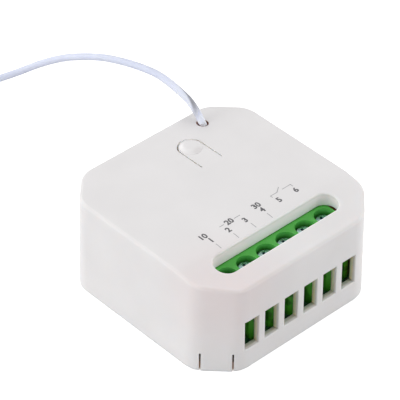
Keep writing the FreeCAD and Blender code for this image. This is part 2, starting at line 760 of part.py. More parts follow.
def make_terminal_block():
    """Green six-pole strip: stepped front, screw wells, wire entries and cavities for the cages."""
    body = new_body("terminal_block")
    side = new_sketch(body, "block_side", "YZ_Plane", f"{BLOCK_END} - {ROW_LENGTH}")
    step = f"{BOARD_TOP} + Sizes.block_step_height"
    add_outline(side, [
        (BLOCK_FRONT, BOARD_TOP),
        (BLOCK_BACK, BOARD_TOP),
        (BLOCK_BACK, BLOCK_TOP),
        (f"{BLOCK_FRONT} + Sizes.block_step_depth", BLOCK_TOP),
        (f"{BLOCK_FRONT} + Sizes.block_step_depth", f"{step} + Sizes.block_step_depth"),
        (BLOCK_FRONT, step),
    ])
    add_pad(body, "block", side, ROW_LENGTH)

    well = new_sketch(body, "well_circle", "XY_Plane", HEAD_FOOT)
    add_circle(well, FIRST_POLE, SCREW_LINE, "Sizes.well_radius")
    first_well = add_pocket(body, "first_well", well, None, backwards=True)

    ledge_hole = new_sketch(body, "ledge_hole_circle", "XY_Plane", BOARD_TOP)
    add_circle(ledge_hole, FIRST_POLE, SCREW_LINE, "Sizes.ledge_hole_radius")
    first_ledge_hole = add_pocket(body, "first_ledge_hole", ledge_hole, None, backwards=True)

    cavity = new_sketch(body, "cavity_outline", "XY_Plane", BOARD_TOP)
    half_cavity = "(Sizes.cage_width / 2 + Sizes.cage_clearance)"
    cavity_sides = (f"{FIRST_POLE} - {half_cavity}", f"{FIRST_POLE} + {half_cavity}")
    add_rectangle(cavity, *cavity_sides, CAVITY_FRONT, CAVITY_BACK)
    first_cavity = add_pocket(body, "first_cavity", cavity, f"{CAVITY_TOP} - {BOARD_TOP}", backwards=True)

    half_entry = "(Sizes.entry_width / 2)"
    half_throat = "(Sizes.entry_width / 2 - Sizes.entry_funnel)"
    entry_top = f"({BOARD_TOP} + Sizes.entry_height)"
    mouth = new_sketch(body, "entry_mouth", "XZ_Plane", f"-{BLOCK_FRONT}")
    add_rectangle(mouth, f"{FIRST_POLE} - {half_entry}", f"{FIRST_POLE} + {half_entry}", BOARD_TOP, entry_top)
    throat = new_sketch(body, "entry_throat", "XZ_Plane", f"-{BLOCK_FRONT} - Sizes.entry_funnel_depth")
    throat_sides = (f"{FIRST_POLE} - {half_throat}", f"{FIRST_POLE} + {half_throat}")
    add_rectangle(throat, *throat_sides, BOARD_TOP, f"{entry_top} - Sizes.entry_funnel")
    funnel = body.newObject("PartDesign::SubtractiveLoft", "first_entry_funnel")
    funnel.Profile = mouth
    funnel.Sections = [throat]
    funnel.Ruled = True
    doc.recompute()
    straight = new_sketch(body, "entry_straight", "XZ_Plane", f"-{BLOCK_FRONT} - Sizes.entry_funnel_depth")
    add_rectangle(straight, *throat_sides, BOARD_TOP, f"{entry_top} - Sizes.entry_funnel")
    first_entry = add_pocket(body, "first_entry", straight, "Sizes.cage_setback - Sizes.entry_funnel_depth")

    repeat_poles(body, "poles", [first_well, first_ledge_hole, first_cavity, funnel, first_entry])

    notch = new_sketch(body, "end_notch_outlines", "XY_Plane", BOARD_TOP)
    notch_front = f"{BLOCK_FRONT} - Sizes.wall"
    notch_back = f"{BLOCK_FRONT} + Sizes.block_notch_depth"
    block_start = f"{BLOCK_END} - {ROW_LENGTH}"
    right_start = f"{BLOCK_END} - Sizes.block_notch_length"
    left_end = f"{block_start} + Sizes.block_notch_length"
    add_rectangle(notch, right_start, f"{BLOCK_END} + Sizes.wall", notch_front, notch_back)
    add_rectangle(notch, f"{block_start} - Sizes.wall", left_end, notch_front, notch_back)
    add_pocket(body, "end_notches", notch, None, backwards=True)


def turned_body(name, profile, x, y, z):
    """Round piece turned about an upright axis, from the radius and height of each corner."""
    body = new_body(name)
    sketch = new_sketch(body, f"{name}_profile", "XZ_Plane")
    add_outline(sketch, profile)
    turned = body.newObject("PartDesign::Revolution", f"{name}_turned")
    turned.Profile = sketch
    turned.ReferenceAxis = (sketch, ["V_Axis"])
    turned.Angle = 360
    place(body, x, y, z)
    doc.recompute()
    return body


def place(item, x, y, z):
    """Bind the place of a piece."""
    item.setExpression("Placement.Base.x", x)
    item.setExpression("Placement.Base.y", y)
    item.setExpression("Placement.Base.z", z)


def make_terminal_screw(index):
    """Clamp screw with a straight slot and a cross in its head, standing in its well."""
    tip_level = f"({CAGE_TOP} - Sizes.cage_head - ({HEAD_FOOT}))"
    rim = "Sizes.head_height / 6"
    body = turned_body(
        f"terminal_screw_{index + 1}",
        [
            ("0", tip_level),
            ("Sizes.shank_radius", tip_level),
            ("Sizes.shank_radius", "0"),
            ("Sizes.head_radius", "0"),
            ("Sizes.head_radius", f"Sizes.head_height - {rim}"),
            (f"Sizes.head_radius - {rim}", "Sizes.head_height"),
            ("0", "Sizes.head_height"),
        ],
        pole_place(index),
        SCREW_LINE,
        HEAD_FOOT,
    )
    recess_floor = "Sizes.head_height - Sizes.head_recess"
    half_recess = "Sizes.recess_width / 2"
    slot = new_sketch(body, f"head_slot_{index + 1}", "XY_Plane", recess_floor)
    add_rectangle(slot, "-1.1 * Sizes.head_radius", "1.1 * Sizes.head_radius", f"-{half_recess}", half_recess)
    add_pocket(body, f"straight_recess_{index + 1}", slot, None, backwards=True)
    cross = new_sketch(body, f"head_cross_{index + 1}", "XY_Plane", recess_floor)
    half_cross = "Sizes.recess_cross / 2"
    add_rectangle(cross, f"-{half_recess}", half_recess, f"-{half_cross}", half_cross)
    add_pocket(body, f"cross_recess_{index + 1}", cross, None, backwards=True)


def make_terminal_cage(index):
    """Rising cage: a box frame open front to back, with the screw through its head plate."""
    name = f"terminal_cage_{index + 1}"
    pole = pole_place(index)
    half = "(Sizes.cage_width / 2)"
    body = new_body(name)
    sketch = new_sketch(body, f"{name}_outline", "XY_Plane", CAGE_FOOT)
    add_rectangle(sketch, f"{pole} - {half}", f"{pole} + {half}", CAGE_FRONT, CAGE_BACK)
    add_pad(body, f"{name}_block", sketch, "Sizes.cage_height")
    inner = f"({half} - Sizes.cage_side_wall)"
    opening = new_sketch(body, f"{name}_opening", "XZ_Plane", f"-{CAGE_BACK} - Sizes.wall")
    inside_low = f"{CAGE_FOOT} + Sizes.cage_floor"
    inside_high = f"{CAGE_TOP} - Sizes.cage_head"
    add_rectangle(opening, f"{pole} - {inner}", f"{pole} + {inner}", inside_low, inside_high)
    add_pocket(body, f"{name}_inside", opening, None, backwards=True)
    hole = new_sketch(body, f"{name}_hole", "XY_Plane", inside_low)
    add_circle(hole, pole, SCREW_LINE, "Sizes.shank_radius + Sizes.thread_clearance")
    add_pocket(body, f"{name}_thread", hole, None, backwards=True)


def centred_box(name, x, y, z, length, width, height):
    """Block about a middle place, standing on a level."""
    box = doc.addObject("Part::Box", name)
    box.setExpression("Length", length)
    box.setExpression("Width", width)
    box.setExpression("Height", height)
    place(box, f"{x} - ({length}) / 2", f"{y} - ({width}) / 2", z)
    return box


def upright_bar(name, x, y, z, radius, height):
    """Round bar standing on a level."""
    bar = doc.addObject("Part::Cylinder", name)
    bar.setExpression("Radius", radius)
    bar.setExpression("Height", height)
    place(bar, x, y, z)
    return bar


def fuse(name, items):
    """One solid from several that touch."""
    fused = doc.addObject("Part::MultiFuse", name)
    fused.Shapes = items
    fused.Refine = True
    return fused


def keep(item):
    """Keep a piece as a part."""
    parts.append(item)
    return item


def make_terminal_contacts():
    """Six contact bars: each runs through its cage, turns down behind it and ends in a board pin."""
    bar_front = f"({CAGE_FRONT} + Sizes.cage_side_wall)"
    contacts = []
    for index in range(POLES):
        pole = pole_place(index)
        depth = f"({RISER_BACK} - {bar_front})"
        bar_middle = f"({RISER_BACK} + {bar_front}) / 2"
        riser_middle = f"({RISER_BACK} + {RISER_FRONT}) / 2"
        bar_foot = f"({BAR_TOP} - Sizes.bar_thickness)"
        bar = centred_box(
            f"bar_{index + 1}", pole, bar_middle, bar_foot, "Sizes.bar_width", depth, "Sizes.bar_thickness"
        )
        riser = centred_box(
            f"riser_{index + 1}", pole, riser_middle, BOARD_TOP, "Sizes.bar_width",
            "Sizes.riser_thickness", f"{bar_foot} - {BOARD_TOP}",
        )
        pin_foot = "(Sizes.board_level - Sizes.pin_length)"
        pin = centred_box(
            f"pin_{index + 1}", pole, riser_middle, pin_foot, "Sizes.pin_width",
            "Sizes.riser_thickness", f"{BOARD_TOP} - {pin_foot}",
        )
        contacts.append(fuse(f"contact_{index + 1}", [bar, riser, pin]))
    group = doc.addObject("Part::Compound", "terminal_contacts")
    group.Links = contacts
    keep(group)


def make_button_tab():
    """Tongue with its raised round pad and the stem below it."""
    body = new_body("button_tab")
    outline = new_sketch(body, "tongue_outline", "XY_Plane", ROOF_INSIDE)
    add_tongue_outline(outline, "Sizes.tongue_radius - Sizes.tongue_slit / 2")
    add_pad(body, "tongue", outline, "Sizes.wall")

    pad_circle = new_sketch(body, "pad_circle", "XY_Plane", "Sizes.body_height")
    add_circle(pad_circle, "Sizes.button_across", "Sizes.button_back", "Sizes.pad_radius")
    pad = add_pad(body, "raised_pad", pad_circle, "Sizes.pad_height")
    doc.recompute()
    pad_top = number("Sizes.body_height + Sizes.pad_height")

    def on_pad_top(edge):
        return edge.CenterOfMass.z > pad_top - NEAR

    skirt = add_edge_feature(
        body, "Chamfer", "pad_skirt", pad, "Size", "Sizes.pad_height - Sizes.pad_rim", on_pad_top
    )
    skirt.ChamferType = "Two distances"
    skirt.setExpression("Size2", "Sizes.pad_skirt_width")
    doc.recompute()
    add_edge_feature(body, "Fillet", "pad_crown", skirt, "Radius", "Sizes.pad_rounding", on_pad_top)

    stem_foot = f"({PLUNGER_TOP} + Sizes.stem_gap)"
    stem_circle = new_sketch(body, "stem_circle", "XY_Plane", stem_foot)
    add_circle(stem_circle, "Sizes.button_across", "Sizes.button_back", "Sizes.stem_radius")
    add_pad(body, "stem", stem_circle, f"{ROOF_INSIDE} + Sizes.wall / 2 - {stem_foot}")


def make_key_switch():
    """Key switch below the button: a square body with a metal cover, and its long plunger."""
    x = "Sizes.button_across"
    y = "Sizes.button_back"
    side = "Sizes.key_side"
    case = centred_box("key_case", x, y, BOARD_TOP, side, side, "Sizes.key_height - Sizes.key_cover")
    cover_side = "Sizes.key_side - Sizes.key_cover"
    cover_foot = f"{KEY_TOP} - Sizes.key_cover"
    cover = centred_box("key_cover_plate", x, y, cover_foot, cover_side, cover_side, "Sizes.key_cover")
    seat_foot = f"{KEY_TOP} - Sizes.plunger_seat"
    seat = upright_bar(
        "plunger_seat", x, y, seat_foot,
        "Sizes.plunger_radius + Sizes.plunger_clearance", "2 * Sizes.plunger_seat",
    )
    switch = doc.addObject("Part::Cut", "tact_switch_body")
    switch.Base = fuse("key_switch_block", [case, cover])
    switch.Tool = seat
    keep(switch)

    foot = f"({seat_foot} + Sizes.plunger_travel)"
    height = f"({PLUNGER_TOP} - {foot})"
    chamfer = "Sizes.plunger_radius / 6"
    turned_body(
        "tact_plunger",
        [
            ("0", "0"),
            ("Sizes.plunger_radius", "0"),
            ("Sizes.plunger_radius", f"{height} - {chamfer}"),
            (f"Sizes.plunger_radius - {chamfer}", height),
            ("0", height),
        ],
        x,
        y,
        foot,
    )


def moulded_block(name, x, y, z, length, width, height, rounding):
    """Block with rounded uprights and a bevelled top."""
    body = new_body(name)
    sketch = new_sketch(body, f"{name}_outline", "XY_Plane", z)
    half_length = f"({length}) / 2"
    half_width = f"({width}) / 2"
    sides = (f"{x} - {half_length}", f"{x} + {half_length}", f"{y} - {half_width}", f"{y} + {half_width}")
    add_rectangle(sketch, *sides)
    block = add_pad(body, f"{name}_block", sketch, height)
    uprights = add_edge_feature(body, "Fillet", f"{name}_uprights", block, "Radius", rounding, upright)
    top = number(f"{z} + {height}")
    add_edge_feature(
        body, "Chamfer", f"{name}_top", uprights, "Size", f"({rounding}) / 2",
        lambda edge: edge.BoundBox.ZMin > top - NEAR,
    )
    return body


def make_film_capacitor():
    """Brick red dipped capacitor on two short leads, close beside the terminal block."""
    left = f"({BLOCK_END} + Sizes.film_gap)"
    right = f"({HALF_WIDTH} - Sizes.wall - Sizes.film_wall_gap)"
    thickness = f"({right} - {left})"
    x = f"(({right} + {left}) / 2)"
    y = f"({BLOCK_FRONT} + Sizes.film_front_gap + Sizes.film_length / 2)"
    level = f"({BOARD_TOP} + Sizes.film_lead_height)"
    height = f"({BLOCK_TOP} - Sizes.film_top_gap - {level})"
    rounding = f"min(Sizes.film_rounding; 0.4 * {thickness})"
    body = moulded_block("film_capacitor", x, y, level, thickness, "Sizes.film_length", height, rounding)
    leads = new_sketch(body, "film_lead_circles", "XY_Plane", BOARD_TOP)
    for side in ("+", "-"):
        add_circle(leads, x, f"{y} {side} Sizes.film_lead_spacing / 2", "Sizes.film_lead_radius")
    add_pad(body, "film_leads", leads, "2 * Sizes.film_lead_height")


def make_can(name, x, y, radius, height):
    """Electrolytic capacitor: a can with a turned-over rim."""
    rounding = "Sizes.can_rounding"
    turned_body(
        name,
        [
            ("0", "0"),
            (radius, "0"),
            (radius, f"{height} - {rounding}"),
            (f"{radius} - {rounding}", height),
            ("0", height),
        ],
        x,
        y,
        BOARD_TOP,
    )


def make_filter_inductor():
    """Drum choke: two flanges and the sleeved winding between them."""
    flange = "Sizes.choke_flange"
    radius = "Sizes.choke_radius"
    waist = f"{radius} - Sizes.choke_waist"
    height = "Sizes.choke_height"
    turned_body(
        "filter_inductor",
        [
            ("0", "0"),
            (radius, "0"),
            (radius, flange),
            (waist, flange),
            (waist, f"{height} - {flange}"),
            (radius, f"{height} - {flange}"),
            (radius, height),
            ("0", height),
        ],
        "Sizes.choke_across",
        column_place(0),
        BOARD_TOP,
    )


def make_varistor():
    """Disc varistor standing on two leads, its flat sides to the front and back."""
    body = new_body("varistor")
    x = "Sizes.varistor_across"
    y = column_place(2)
    level = f"({BOARD_TOP} + Sizes.varistor_lead_height + Sizes.varistor_radius)"
    face = f"-{y} - Sizes.varistor_thickness / 2"
    disc_sketch = new_sketch(body, "varistor_disc_circle", "XZ_Plane", face)
    add_circle(disc_sketch, x, level, "Sizes.varistor_radius")
    disc = add_pad(body, "varistor_disc", disc_sketch, "Sizes.varistor_thickness")
    bevel = "Sizes.varistor_thickness / 4"
    add_edge_feature(
        body, "Chamfer", "varistor_edges", disc, "Size", bevel, lambda edge: len(edge.Vertexes) == 1
    )
    leads = new_sketch(body, "varistor_lead_circles", "XY_Plane", BOARD_TOP)
    for side in ("+", "-"):
        lead_across = f"{x} {side} Sizes.varistor_lead_spacing / 2"
        add_circle(leads, lead_across, y, "Sizes.varistor_lead_radius")
    add_pad(body, "varistor_leads", leads, f"{level} - {BOARD_TOP}")


def make_fuse_resistor():
    """Fusible resistor lying along X, its two leads bent down to the board."""
    x = FUSE_ACROSS
    y = FUSE_BACK
    level = f"({BOARD_TOP} + Sizes.fuse_radius)"
    case = doc.addObject("Part::Cylinder", "fuse_case")
    case.setExpression("Radius", "Sizes.fuse_radius")
    case.setExpression("Height", "Sizes.fuse_length")
    lead = doc.addObject("Part::Cylinder", "fuse_lead")
    lead.setExpression("Radius", "Sizes.fuse_lead_radius")
    lead.setExpression("Height", "Sizes.fuse_lead_span")
    for item, length in ((case, "Sizes.fuse_length"), (lead, "Sizes.fuse_lead_span")):
        item.Placement.Rotation = FreeCAD.Rotation(FreeCAD.Vector(0, 1, 0), 90)
        place(item, f"{x} - {length} / 2", y, level)
    pieces = [case, lead]
    for place_name, side in (("left", "-"), ("right", "+")):
        leg_across = f"{x} {side} (Sizes.fuse_lead_span / 2 - Sizes.fuse_lead_radius)"
        leg_height = "Sizes.fuse_radius + Sizes.fuse_lead_radius"
        leg_name = f"fuse_leg_{place_name}"
        pieces.append(upright_bar(leg_name, leg_across, y, BOARD_TOP, "Sizes.fuse_lead_radius", leg_height))
    keep(fuse("fuse_resistor", pieces))


def make_chip(name, x, y, level, turned):
    """Small eight-lead chip, its leads along X, or along Y when turned."""
    along = ("Sizes.chip_length", "Sizes.chip_width")
    length, width = along if turned else along[::-1]
    lead_gap = "Sizes.chip_lead_height"
    pieces = [centred_box(f"{name}_case", x, y, level, length, width, "Sizes.chip_height")]
    for count in range(4):
        shift = f"({count} - 1.5) * Sizes.chip_lead_pitch"
        middle = (f"{x} + {shift}", y) if turned else (x, f"{y} + {shift}")
        spread = ("Sizes.chip_lead_width", "Sizes.chip_lead_span")
        size = spread if turned else spread[::-1]
        pieces.append(centred_box(f"{name}_lead_{count + 1}", *middle, level, *size, lead_gap))
    keep(fuse(name, pieces))


def make_board_parts():
    """Everything else that stands on the main board."""
    moulded_block(
        "relay", f"(({RELAY_LEFT} + {RELAY_RIGHT}) / 2)", f"(({RELAY_FRONT} + {RELAY_BACK}) / 2)", BOARD_TOP,
        f"{RELAY_RIGHT} - {RELAY_LEFT}", f"{RELAY_BACK} - {RELAY_FRONT}",
        f"({ROOF_INSIDE} - {BOARD_TOP} - Sizes.relay_headroom)", "Sizes.relay_rounding",
    )
    make_can(
        "main_capacitor", "Sizes.main_can_across", MAIN_CAN_BACK,
        "Sizes.main_can_radius", "Sizes.main_can_height",
    )
    make_can(
        "output_capacitor", "Sizes.output_can_across", OUTPUT_CAN_BACK,
        "Sizes.output_can_radius", "Sizes.output_can_height",
    )
    make_filter_inductor()
    make_varistor()
    make_fuse_resistor()
    converter_back = f"({BLOCK_BACK} + Sizes.converter_gap + Sizes.chip_lead_span / 2)"
    make_chip("converter_chip", "Sizes.converter_across", converter_back, BOARD_TOP, True)
    fuse_end = f"({FUSE_ACROSS} + Sizes.fuse_lead_span / 2)"
    bridge_across = f"({fuse_end} + Sizes.bridge_fuse_gap + Sizes.bridge_length / 2)"
    can_front = f"({OUTPUT_CAN_BACK} - Sizes.output_can_radius)"
    bridge_back = f"({can_front} - Sizes.bridge_can_gap - Sizes.bridge_width / 2)"
    keep(centred_box(
        "bridge_rectifier", bridge_across, bridge_back, BOARD_TOP,
        "Sizes.bridge_length", "Sizes.bridge_width", "Sizes.bridge_height",
    ))
    keep(centred_box(
        "flyback_diode", "Sizes.diode_across", column_place(1), BOARD_TOP,
        "Sizes.diode_length", "Sizes.diode_width", "Sizes.diode_height",
    ))
    keep(centred_box(
        "relay_transistor", "Sizes.transistor_across", column_place(3), BOARD_TOP,
        "Sizes.transistor_length", "Sizes.transistor_width", "Sizes.transistor_height",
    ))


def make_receiver():
    """Receiver board on its two header strips, with the radio chip, its crystal and the controller."""
    x = "Sizes.radio_across"
    keep(centred_box(
        "radio_board", x, "Sizes.radio_back", RADIO_FOOT,
        "Sizes.radio_width", "Sizes.radio_length", "Sizes.radio_thickness",
    ))
    strips = doc.addObject("Part::Compound", "radio_header")
    edge = "(Sizes.radio_width - Sizes.header_width) / 2"
    strips.Links = [
        centred_box(
            "header_strip", f"{x} - {edge}", "Sizes.radio_back", BOARD_TOP,
            "Sizes.header_width", "Sizes.header_length", "Sizes.header_height",
        ),
        centred_box(
            "header_foot", f"{x} + {edge}", "Sizes.radio_back", BOARD_TOP,
            "Sizes.header_width", "Sizes.header_foot_length", "Sizes.header_height",
        ),
    ]
    keep(strips)
    keep(centred_box(
        "radio_chip", x, "Sizes.radio_chip_back", RADIO_TOP,
        "Sizes.radio_chip_side", "Sizes.radio_chip_side", "Sizes.radio_chip_height",
    ))
    keep(centred_box(
        "radio_crystal", x, "Sizes.crystal_back", RADIO_TOP,
        "Sizes.crystal_length", "Sizes.crystal_width", "Sizes.crystal_height",
    ))
    make_chip("controller_chip", x, "Sizes.controller_back", RADIO_TOP, False)


def wire_points():
    """Points of the free wire: its heights keep with the box's, down to where it lies on the surface."""
    radius = number("Sizes.wire_radius")
    rise = (number("Sizes.body_height") - radius) / (WIRE_ROUTE[0][2] - radius)
    return [FreeCAD.Vector(x, y, radius + rise * (z - radius)) for x, y, z in WIRE_ROUTE]


def wire_exit():
    """Point and direction in which the antenna wire leaves the roof."""
    points = wire_points()
    return points[0], (points[1] - points[0]).normalize()


def rounded_path(points):
    """Straight runs joined by tangent arcs, as large as the runs beside each point allow."""
    edges = []
    radii = []
    start = points[0]
    for before, corner, after in zip(points, points[1:], points[2:]):
        run_in = corner - before
        run_out = after - corner
        turn = run_in.getAngle(run_out)
        trim = ARC_SHARE * min(run_in.Length, run_out.Length)
        radii.append(trim / math.tan(turn / 2))
        way_in = FreeCAD.Vector(run_in).normalize()
        way_out = FreeCAD.Vector(run_out).normalize()
        arc_start = corner - way_in * trim
        arc_end = corner + way_out * trim
        inward = (way_out - way_in).normalize()
        middle = corner + inward * (radii[-1] / math.cos(turn / 2) - radii[-1])
        edges.append(Part.LineSegment(start, arc_start).toShape())
        edges.append(Part.Arc(arc_start, middle, arc_end).toShape())
        start = arc_end
    edges.append(Part.LineSegment(start, points[-1]).toShape())
    return Part.Wire(edges), radii


def make_tube(name, points):
    """Round wire along a route, with its volume compared with its section times its length."""
    path, radii = rounded_path(points)
    radius = number("Sizes.wire_radius")
    way = FreeCAD.Vector(points[1] - points[0]).normalize()
    section = Part.Wire(Part.Circle(points[0], way, radius).toShape())
    tube = path.makePipeShell([section], True, False)
    expected = math.pi * radius ** 2 * path.Length
    print(name, "length", round(path.Length, 2), "radii", [round(value, 1) for value in radii])
    print(name, "volume", round(tube.Volume, 2), "expected", round(expected, 2))
    if abs(tube.Volume / expected - 1) > 0.01:
        raise RuntimeError(f"{name} is not a whole tube")
    item = doc.addObject("Part::Feature", name)
    item.Shape = tube
    keep(item)


def make_antenna():
    """Free wire behind the box, and its lead inside, which comes down on the receiver board."""
    make_tube("antenna_wire", wire_points())
    exit_point, exit_way = wire_exit()
    bend = exit_point - exit_way * number("Sizes.lead_straight")
    foot = FreeCAD.Vector(bend.x, bend.y, number(RADIO_TOP))
    make_tube("antenna_lead", [exit_point, bend, foot])


def export_parts():
    """Check every object, then write one file for each part."""
    doc.recompute()
    for item in doc.Objects:
        if "Invalid" in item.State or "Error" in item.State:
            raise RuntimeError(f"{item.Name} failed: {item.State}")
    for item in parts:
        if item.Shape.isNull() or not item.Shape.isValid():
            raise RuntimeError(f"{item.Name} has no valid shape")
    os.makedirs("parts", exist_ok=True)
    for item in parts:
        item.Label = item.Name
        item.Shape.exportStep(f"parts/{item.Name}.step")
    print(len(parts), "parts")


make_upper_housing()
make_base_cover()
make_circuit_board()
make_terminal_block()
for pole_index in range(POLES):
    make_terminal_screw(pole_index)
for pole_index in range(POLES):
    make_terminal_cage(pole_index)
make_terminal_contacts()
make_button_tab()
make_key_switch()
make_film_capacitor()
make_board_parts()
make_receiver()
make_antenna()
export_parts()
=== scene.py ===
import math

import bmesh
import bpy
from bpy.props import FloatProperty, FloatVectorProperty, PointerProperty
from mathutils import Matrix, Vector


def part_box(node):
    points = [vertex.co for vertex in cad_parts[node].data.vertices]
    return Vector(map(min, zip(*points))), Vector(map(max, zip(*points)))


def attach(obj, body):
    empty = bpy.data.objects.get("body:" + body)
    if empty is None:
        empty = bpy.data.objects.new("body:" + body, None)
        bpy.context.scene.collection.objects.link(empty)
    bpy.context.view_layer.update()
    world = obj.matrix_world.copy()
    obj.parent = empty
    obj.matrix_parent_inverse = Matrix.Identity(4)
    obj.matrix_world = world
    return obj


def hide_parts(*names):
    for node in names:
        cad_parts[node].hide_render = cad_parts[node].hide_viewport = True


bl_info = {
    "name": "Receiver module looks",
    "version": (1, 0, 0),
    "blender": (4, 5, 0),
    "location": "View3D > Sidebar > Receiver",
    "description": "Finishes, print, antenna wire and stage for a small in-wall receiver module",
    "category": "Object",
}

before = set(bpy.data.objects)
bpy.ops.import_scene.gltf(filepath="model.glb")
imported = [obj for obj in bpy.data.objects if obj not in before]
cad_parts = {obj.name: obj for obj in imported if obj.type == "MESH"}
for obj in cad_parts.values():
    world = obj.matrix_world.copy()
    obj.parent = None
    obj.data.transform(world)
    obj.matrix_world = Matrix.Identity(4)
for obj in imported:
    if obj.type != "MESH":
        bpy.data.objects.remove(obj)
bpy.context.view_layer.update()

BODY = "module"
ROOF = "upper_housing"
ROOF_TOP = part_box(ROOF)[1].z
BLOCK_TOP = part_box("terminal_block")[1].z
HEAD_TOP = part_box("terminal_screw_1")[1].z
POLES = 6
WHITE = (1, 1, 1)

# The housing's outer skin: half a side, where the cut corners start, the lean of the walls,
# and the roof with its sloped front strip
HALF_SIDE = 0.0225
CORNER_SUM = 0.0387
DRAFT_SLOPE = math.tan(math.radians(1.0))
ROOF_LEVEL = 0.0210
SLOPE_RISE = 0.0017 / 0.01153
SLOPE_LEVEL = 0.0193 + HALF_SIDE * SLOPE_RISE

# Points and edges that the painted light and shade keep to: the warm corner, the middle of the
# button tab, the slot's front edge with half its straight length, and the slot's rear edge on the
# terminal strip
WARM_CORNER = (-0.0170, -0.0200, 0.0180)
TAB_CENTRE = (0.0047, 0.0120, 0.0205)
SLOT_FRONT = -0.01752
SLOT_REACH = 0.0128
SLOT_RIM = -0.01255

# Spans: a smooth change, 0 at the first place and 1 at the second, in metres.
# Depths below the housing's outer skin
INNER_SPAN = (0.00045, 0.0009)
ROOF_EDGE_SPAN = (0.0006, 0.0001)
RIM_DEPTH_SPAN = (0.0003, 0.0002)

# Heights
LOW_SPAN = (0.0135, 0.0125)
SILL_SPAN = (0.00462, 0.00456)
SLIT_SPAN = (0.0044, 0.0043)
UNDER_TOP_SPAN = (0.02099, 0.02095)
SCATTER_SPAN = (0.02099, 0.0205)
ON_PAD_SPAN = (ROOF_LEVEL, ROOF_LEVEL + 0.00005)
WELL_SPAN = (BLOCK_TOP - 0.0001, BLOCK_TOP - 0.0016)
WINDOW_SPAN = (0.0135, 0.0115)
RECESS_SPAN = (HEAD_TOP - 0.00005, HEAD_TOP - 0.0002)
HEAD_FOOT_SPAN = (HEAD_TOP - 0.0016, HEAD_TOP - 0.0012)

# Distances from a point
CORNER_SPAN = (0.0180, 0.0010)
TAB_SPAN = (0.0090, 0.0085)
HOLE_SPAN = (0.0030, 0.0025)

# Places along Y, from the slot at the front to the wire at the back
RIM_FRONT_SPAN = (SLOT_FRONT - 0.00035, SLOT_FRONT - 0.00025)
RIM_BACK_SPAN = (SLOT_FRONT + 0.0001, SLOT_FRONT)
STRIP_EDGE_SPAN = (SLOT_RIM - 0.0002, SLOT_RIM)
STREAK_START_SPAN = (0.0180, 0.0200)
STREAK_END_SPAN = (0.0340, 0.0270)
ARCH_SPAN = (0.0210, 0.0330)
PAST_ARCH_SPAN = (0.0680, 0.0450)

# Places along X
RIM_END_SPAN = (SLOT_REACH, SLOT_REACH - 0.0005)
STREAK_SIDE_SPAN = (0.0102, 0.0106)

# The edge of the floor that the object covers: out to its sides, and out to its cut corners
FLOOR_SIDE_SPAN = (HALF_SIDE - 0.001, HALF_SIDE)
FLOOR_CORNER_SPAN = (CORNER_SUM - 0.0015, CORNER_SUM)

# How strong the painted shade along the wire's arch stays past the arch
PAST_ARCH_SHARE = 0.6

# The part of a noise that shows as dark mottle behind the windows
MOTTLE_SPAN = (0.46, 0.60)

# Colour factors on the housing, which multiply its colour: painted light on the cut edges at the
# windows, painted shade on their sills, painted brown shade in the slits of the snap tabs, painted
# light on the slot's wall, a painted highlight on its front rim, painted shade on the roof's edge
# and one warm corner, painted light in the slits of the button tab and painted brown shade in the
# antenna hole
WALL_PAINTED_LIGHT = (1.17, 1.05, 0.79)
SILL_PAINTED_SHADE = (0.64, 0.72, 0.85)
SLIT_PAINTED_SHADE = (1.0, 0.68, 0.50)
SLOT_PAINTED_LIGHT = (1.16, 1.11, 1.14)
FRONT_RIM_HIGHLIGHT = (1.16, 1.16, 1.16)
ROOF_EDGE_PAINTED_SHADE = (0.94, 0.94, 0.93)
CORNER_PAINTED_SHADE = (1.0, 0.935, 0.935)
TAB_PAINTED_LIGHT = (1.19, 1.17, 1.12)
HOLE_PAINTED_SHADE = (0.75, 0.48, 0.36)

# Painted shade on one side of the button's pad and a painted highlight on the other: place, span
# and colour factor
PAD_SIDES = (
    ((0.0050, 0.0118, 0.0212), (0.0016, 0.0006), (0.94, 0.93, 0.93)),
    ((0.0031, 0.0155, 0.0212), (0.0013, 0.0003), (1.12, 1.12, 1.12)),
)

# Colour factors on the terminal strip, the screws and the wire: painted shade in the wells, painted
# light behind the windows with a dark mottle there, painted shade at the strip's rear edge and in
# the screws' recesses, painted shade along the wire's arch, and a darker streak along the wire
WELL_PAINTED_SHADE = (0.42, 0.49, 0.44)
WINDOW_PAINTED_LIGHT = (1.75, 1.6, 0.7)
MOTTLE_STAIN = (0.35, 0.45, 0.35)
STRIP_EDGE_PAINTED_SHADE = (0.60, 0.68, 0.60)
RECESS_PAINTED_SHADE = (0.17, 0.36, 0.35)
ARCH_PAINTED_SHADE = (0.81, 0.825, 0.87)
STREAK_DARKENING = (0.45, 0.44, 0.43)

# Light that scatters in the housing: its share and reach at the skin, and what thin edges add
SKIN_SCATTER = 0.5
EDGE_SCATTER = 0.45
SKIN_SPREAD = 0.0012
EDGE_SPREAD = 0.0013

# Light that scatters in the other plastics and in the wire: share, reach for each colour and reach
PLASTIC_SCATTER_RADIUS = (1.0, 0.85, 0.75)
PLASTIC_SPREAD = 0.0006
TERMINAL_SCATTER = 0.1
WIRE_SCATTER = 0.6
WIRE_SCATTER_RADIUS = (0.9, 0.9, 1.0)
WIRE_SPREAD = 0.0006
WIRE_SPECULAR = 0.25

# The middle of a noise, where nearly all of its values lie
NOISE_MIDDLE = (0.3, 0.7)

# Noises: turns per metre, detail and, where it isn't the usual one, roughness
MOULD_CLOUD = (90, 3)
MOULD_SHEEN = (700, 2)
WINDOW_MOTTLE = (420, 3)
PLATING_CLOUD = (900, 4)
PLATING_MARKS = (2600, 3, 0.7)
PLATING_RELIEF = (5200, 3, 0.7)
WIRE_CLOUD = (260, 3)
WIRE_SHEEN = (1500, 2)
WIRE_RELIEF = (1900, 3)
INK_PATCHES = (5200, 3, 0.7)
LACQUER_SHEEN = (800, 2)
GRAIN_DETAIL = (2, 0.6)

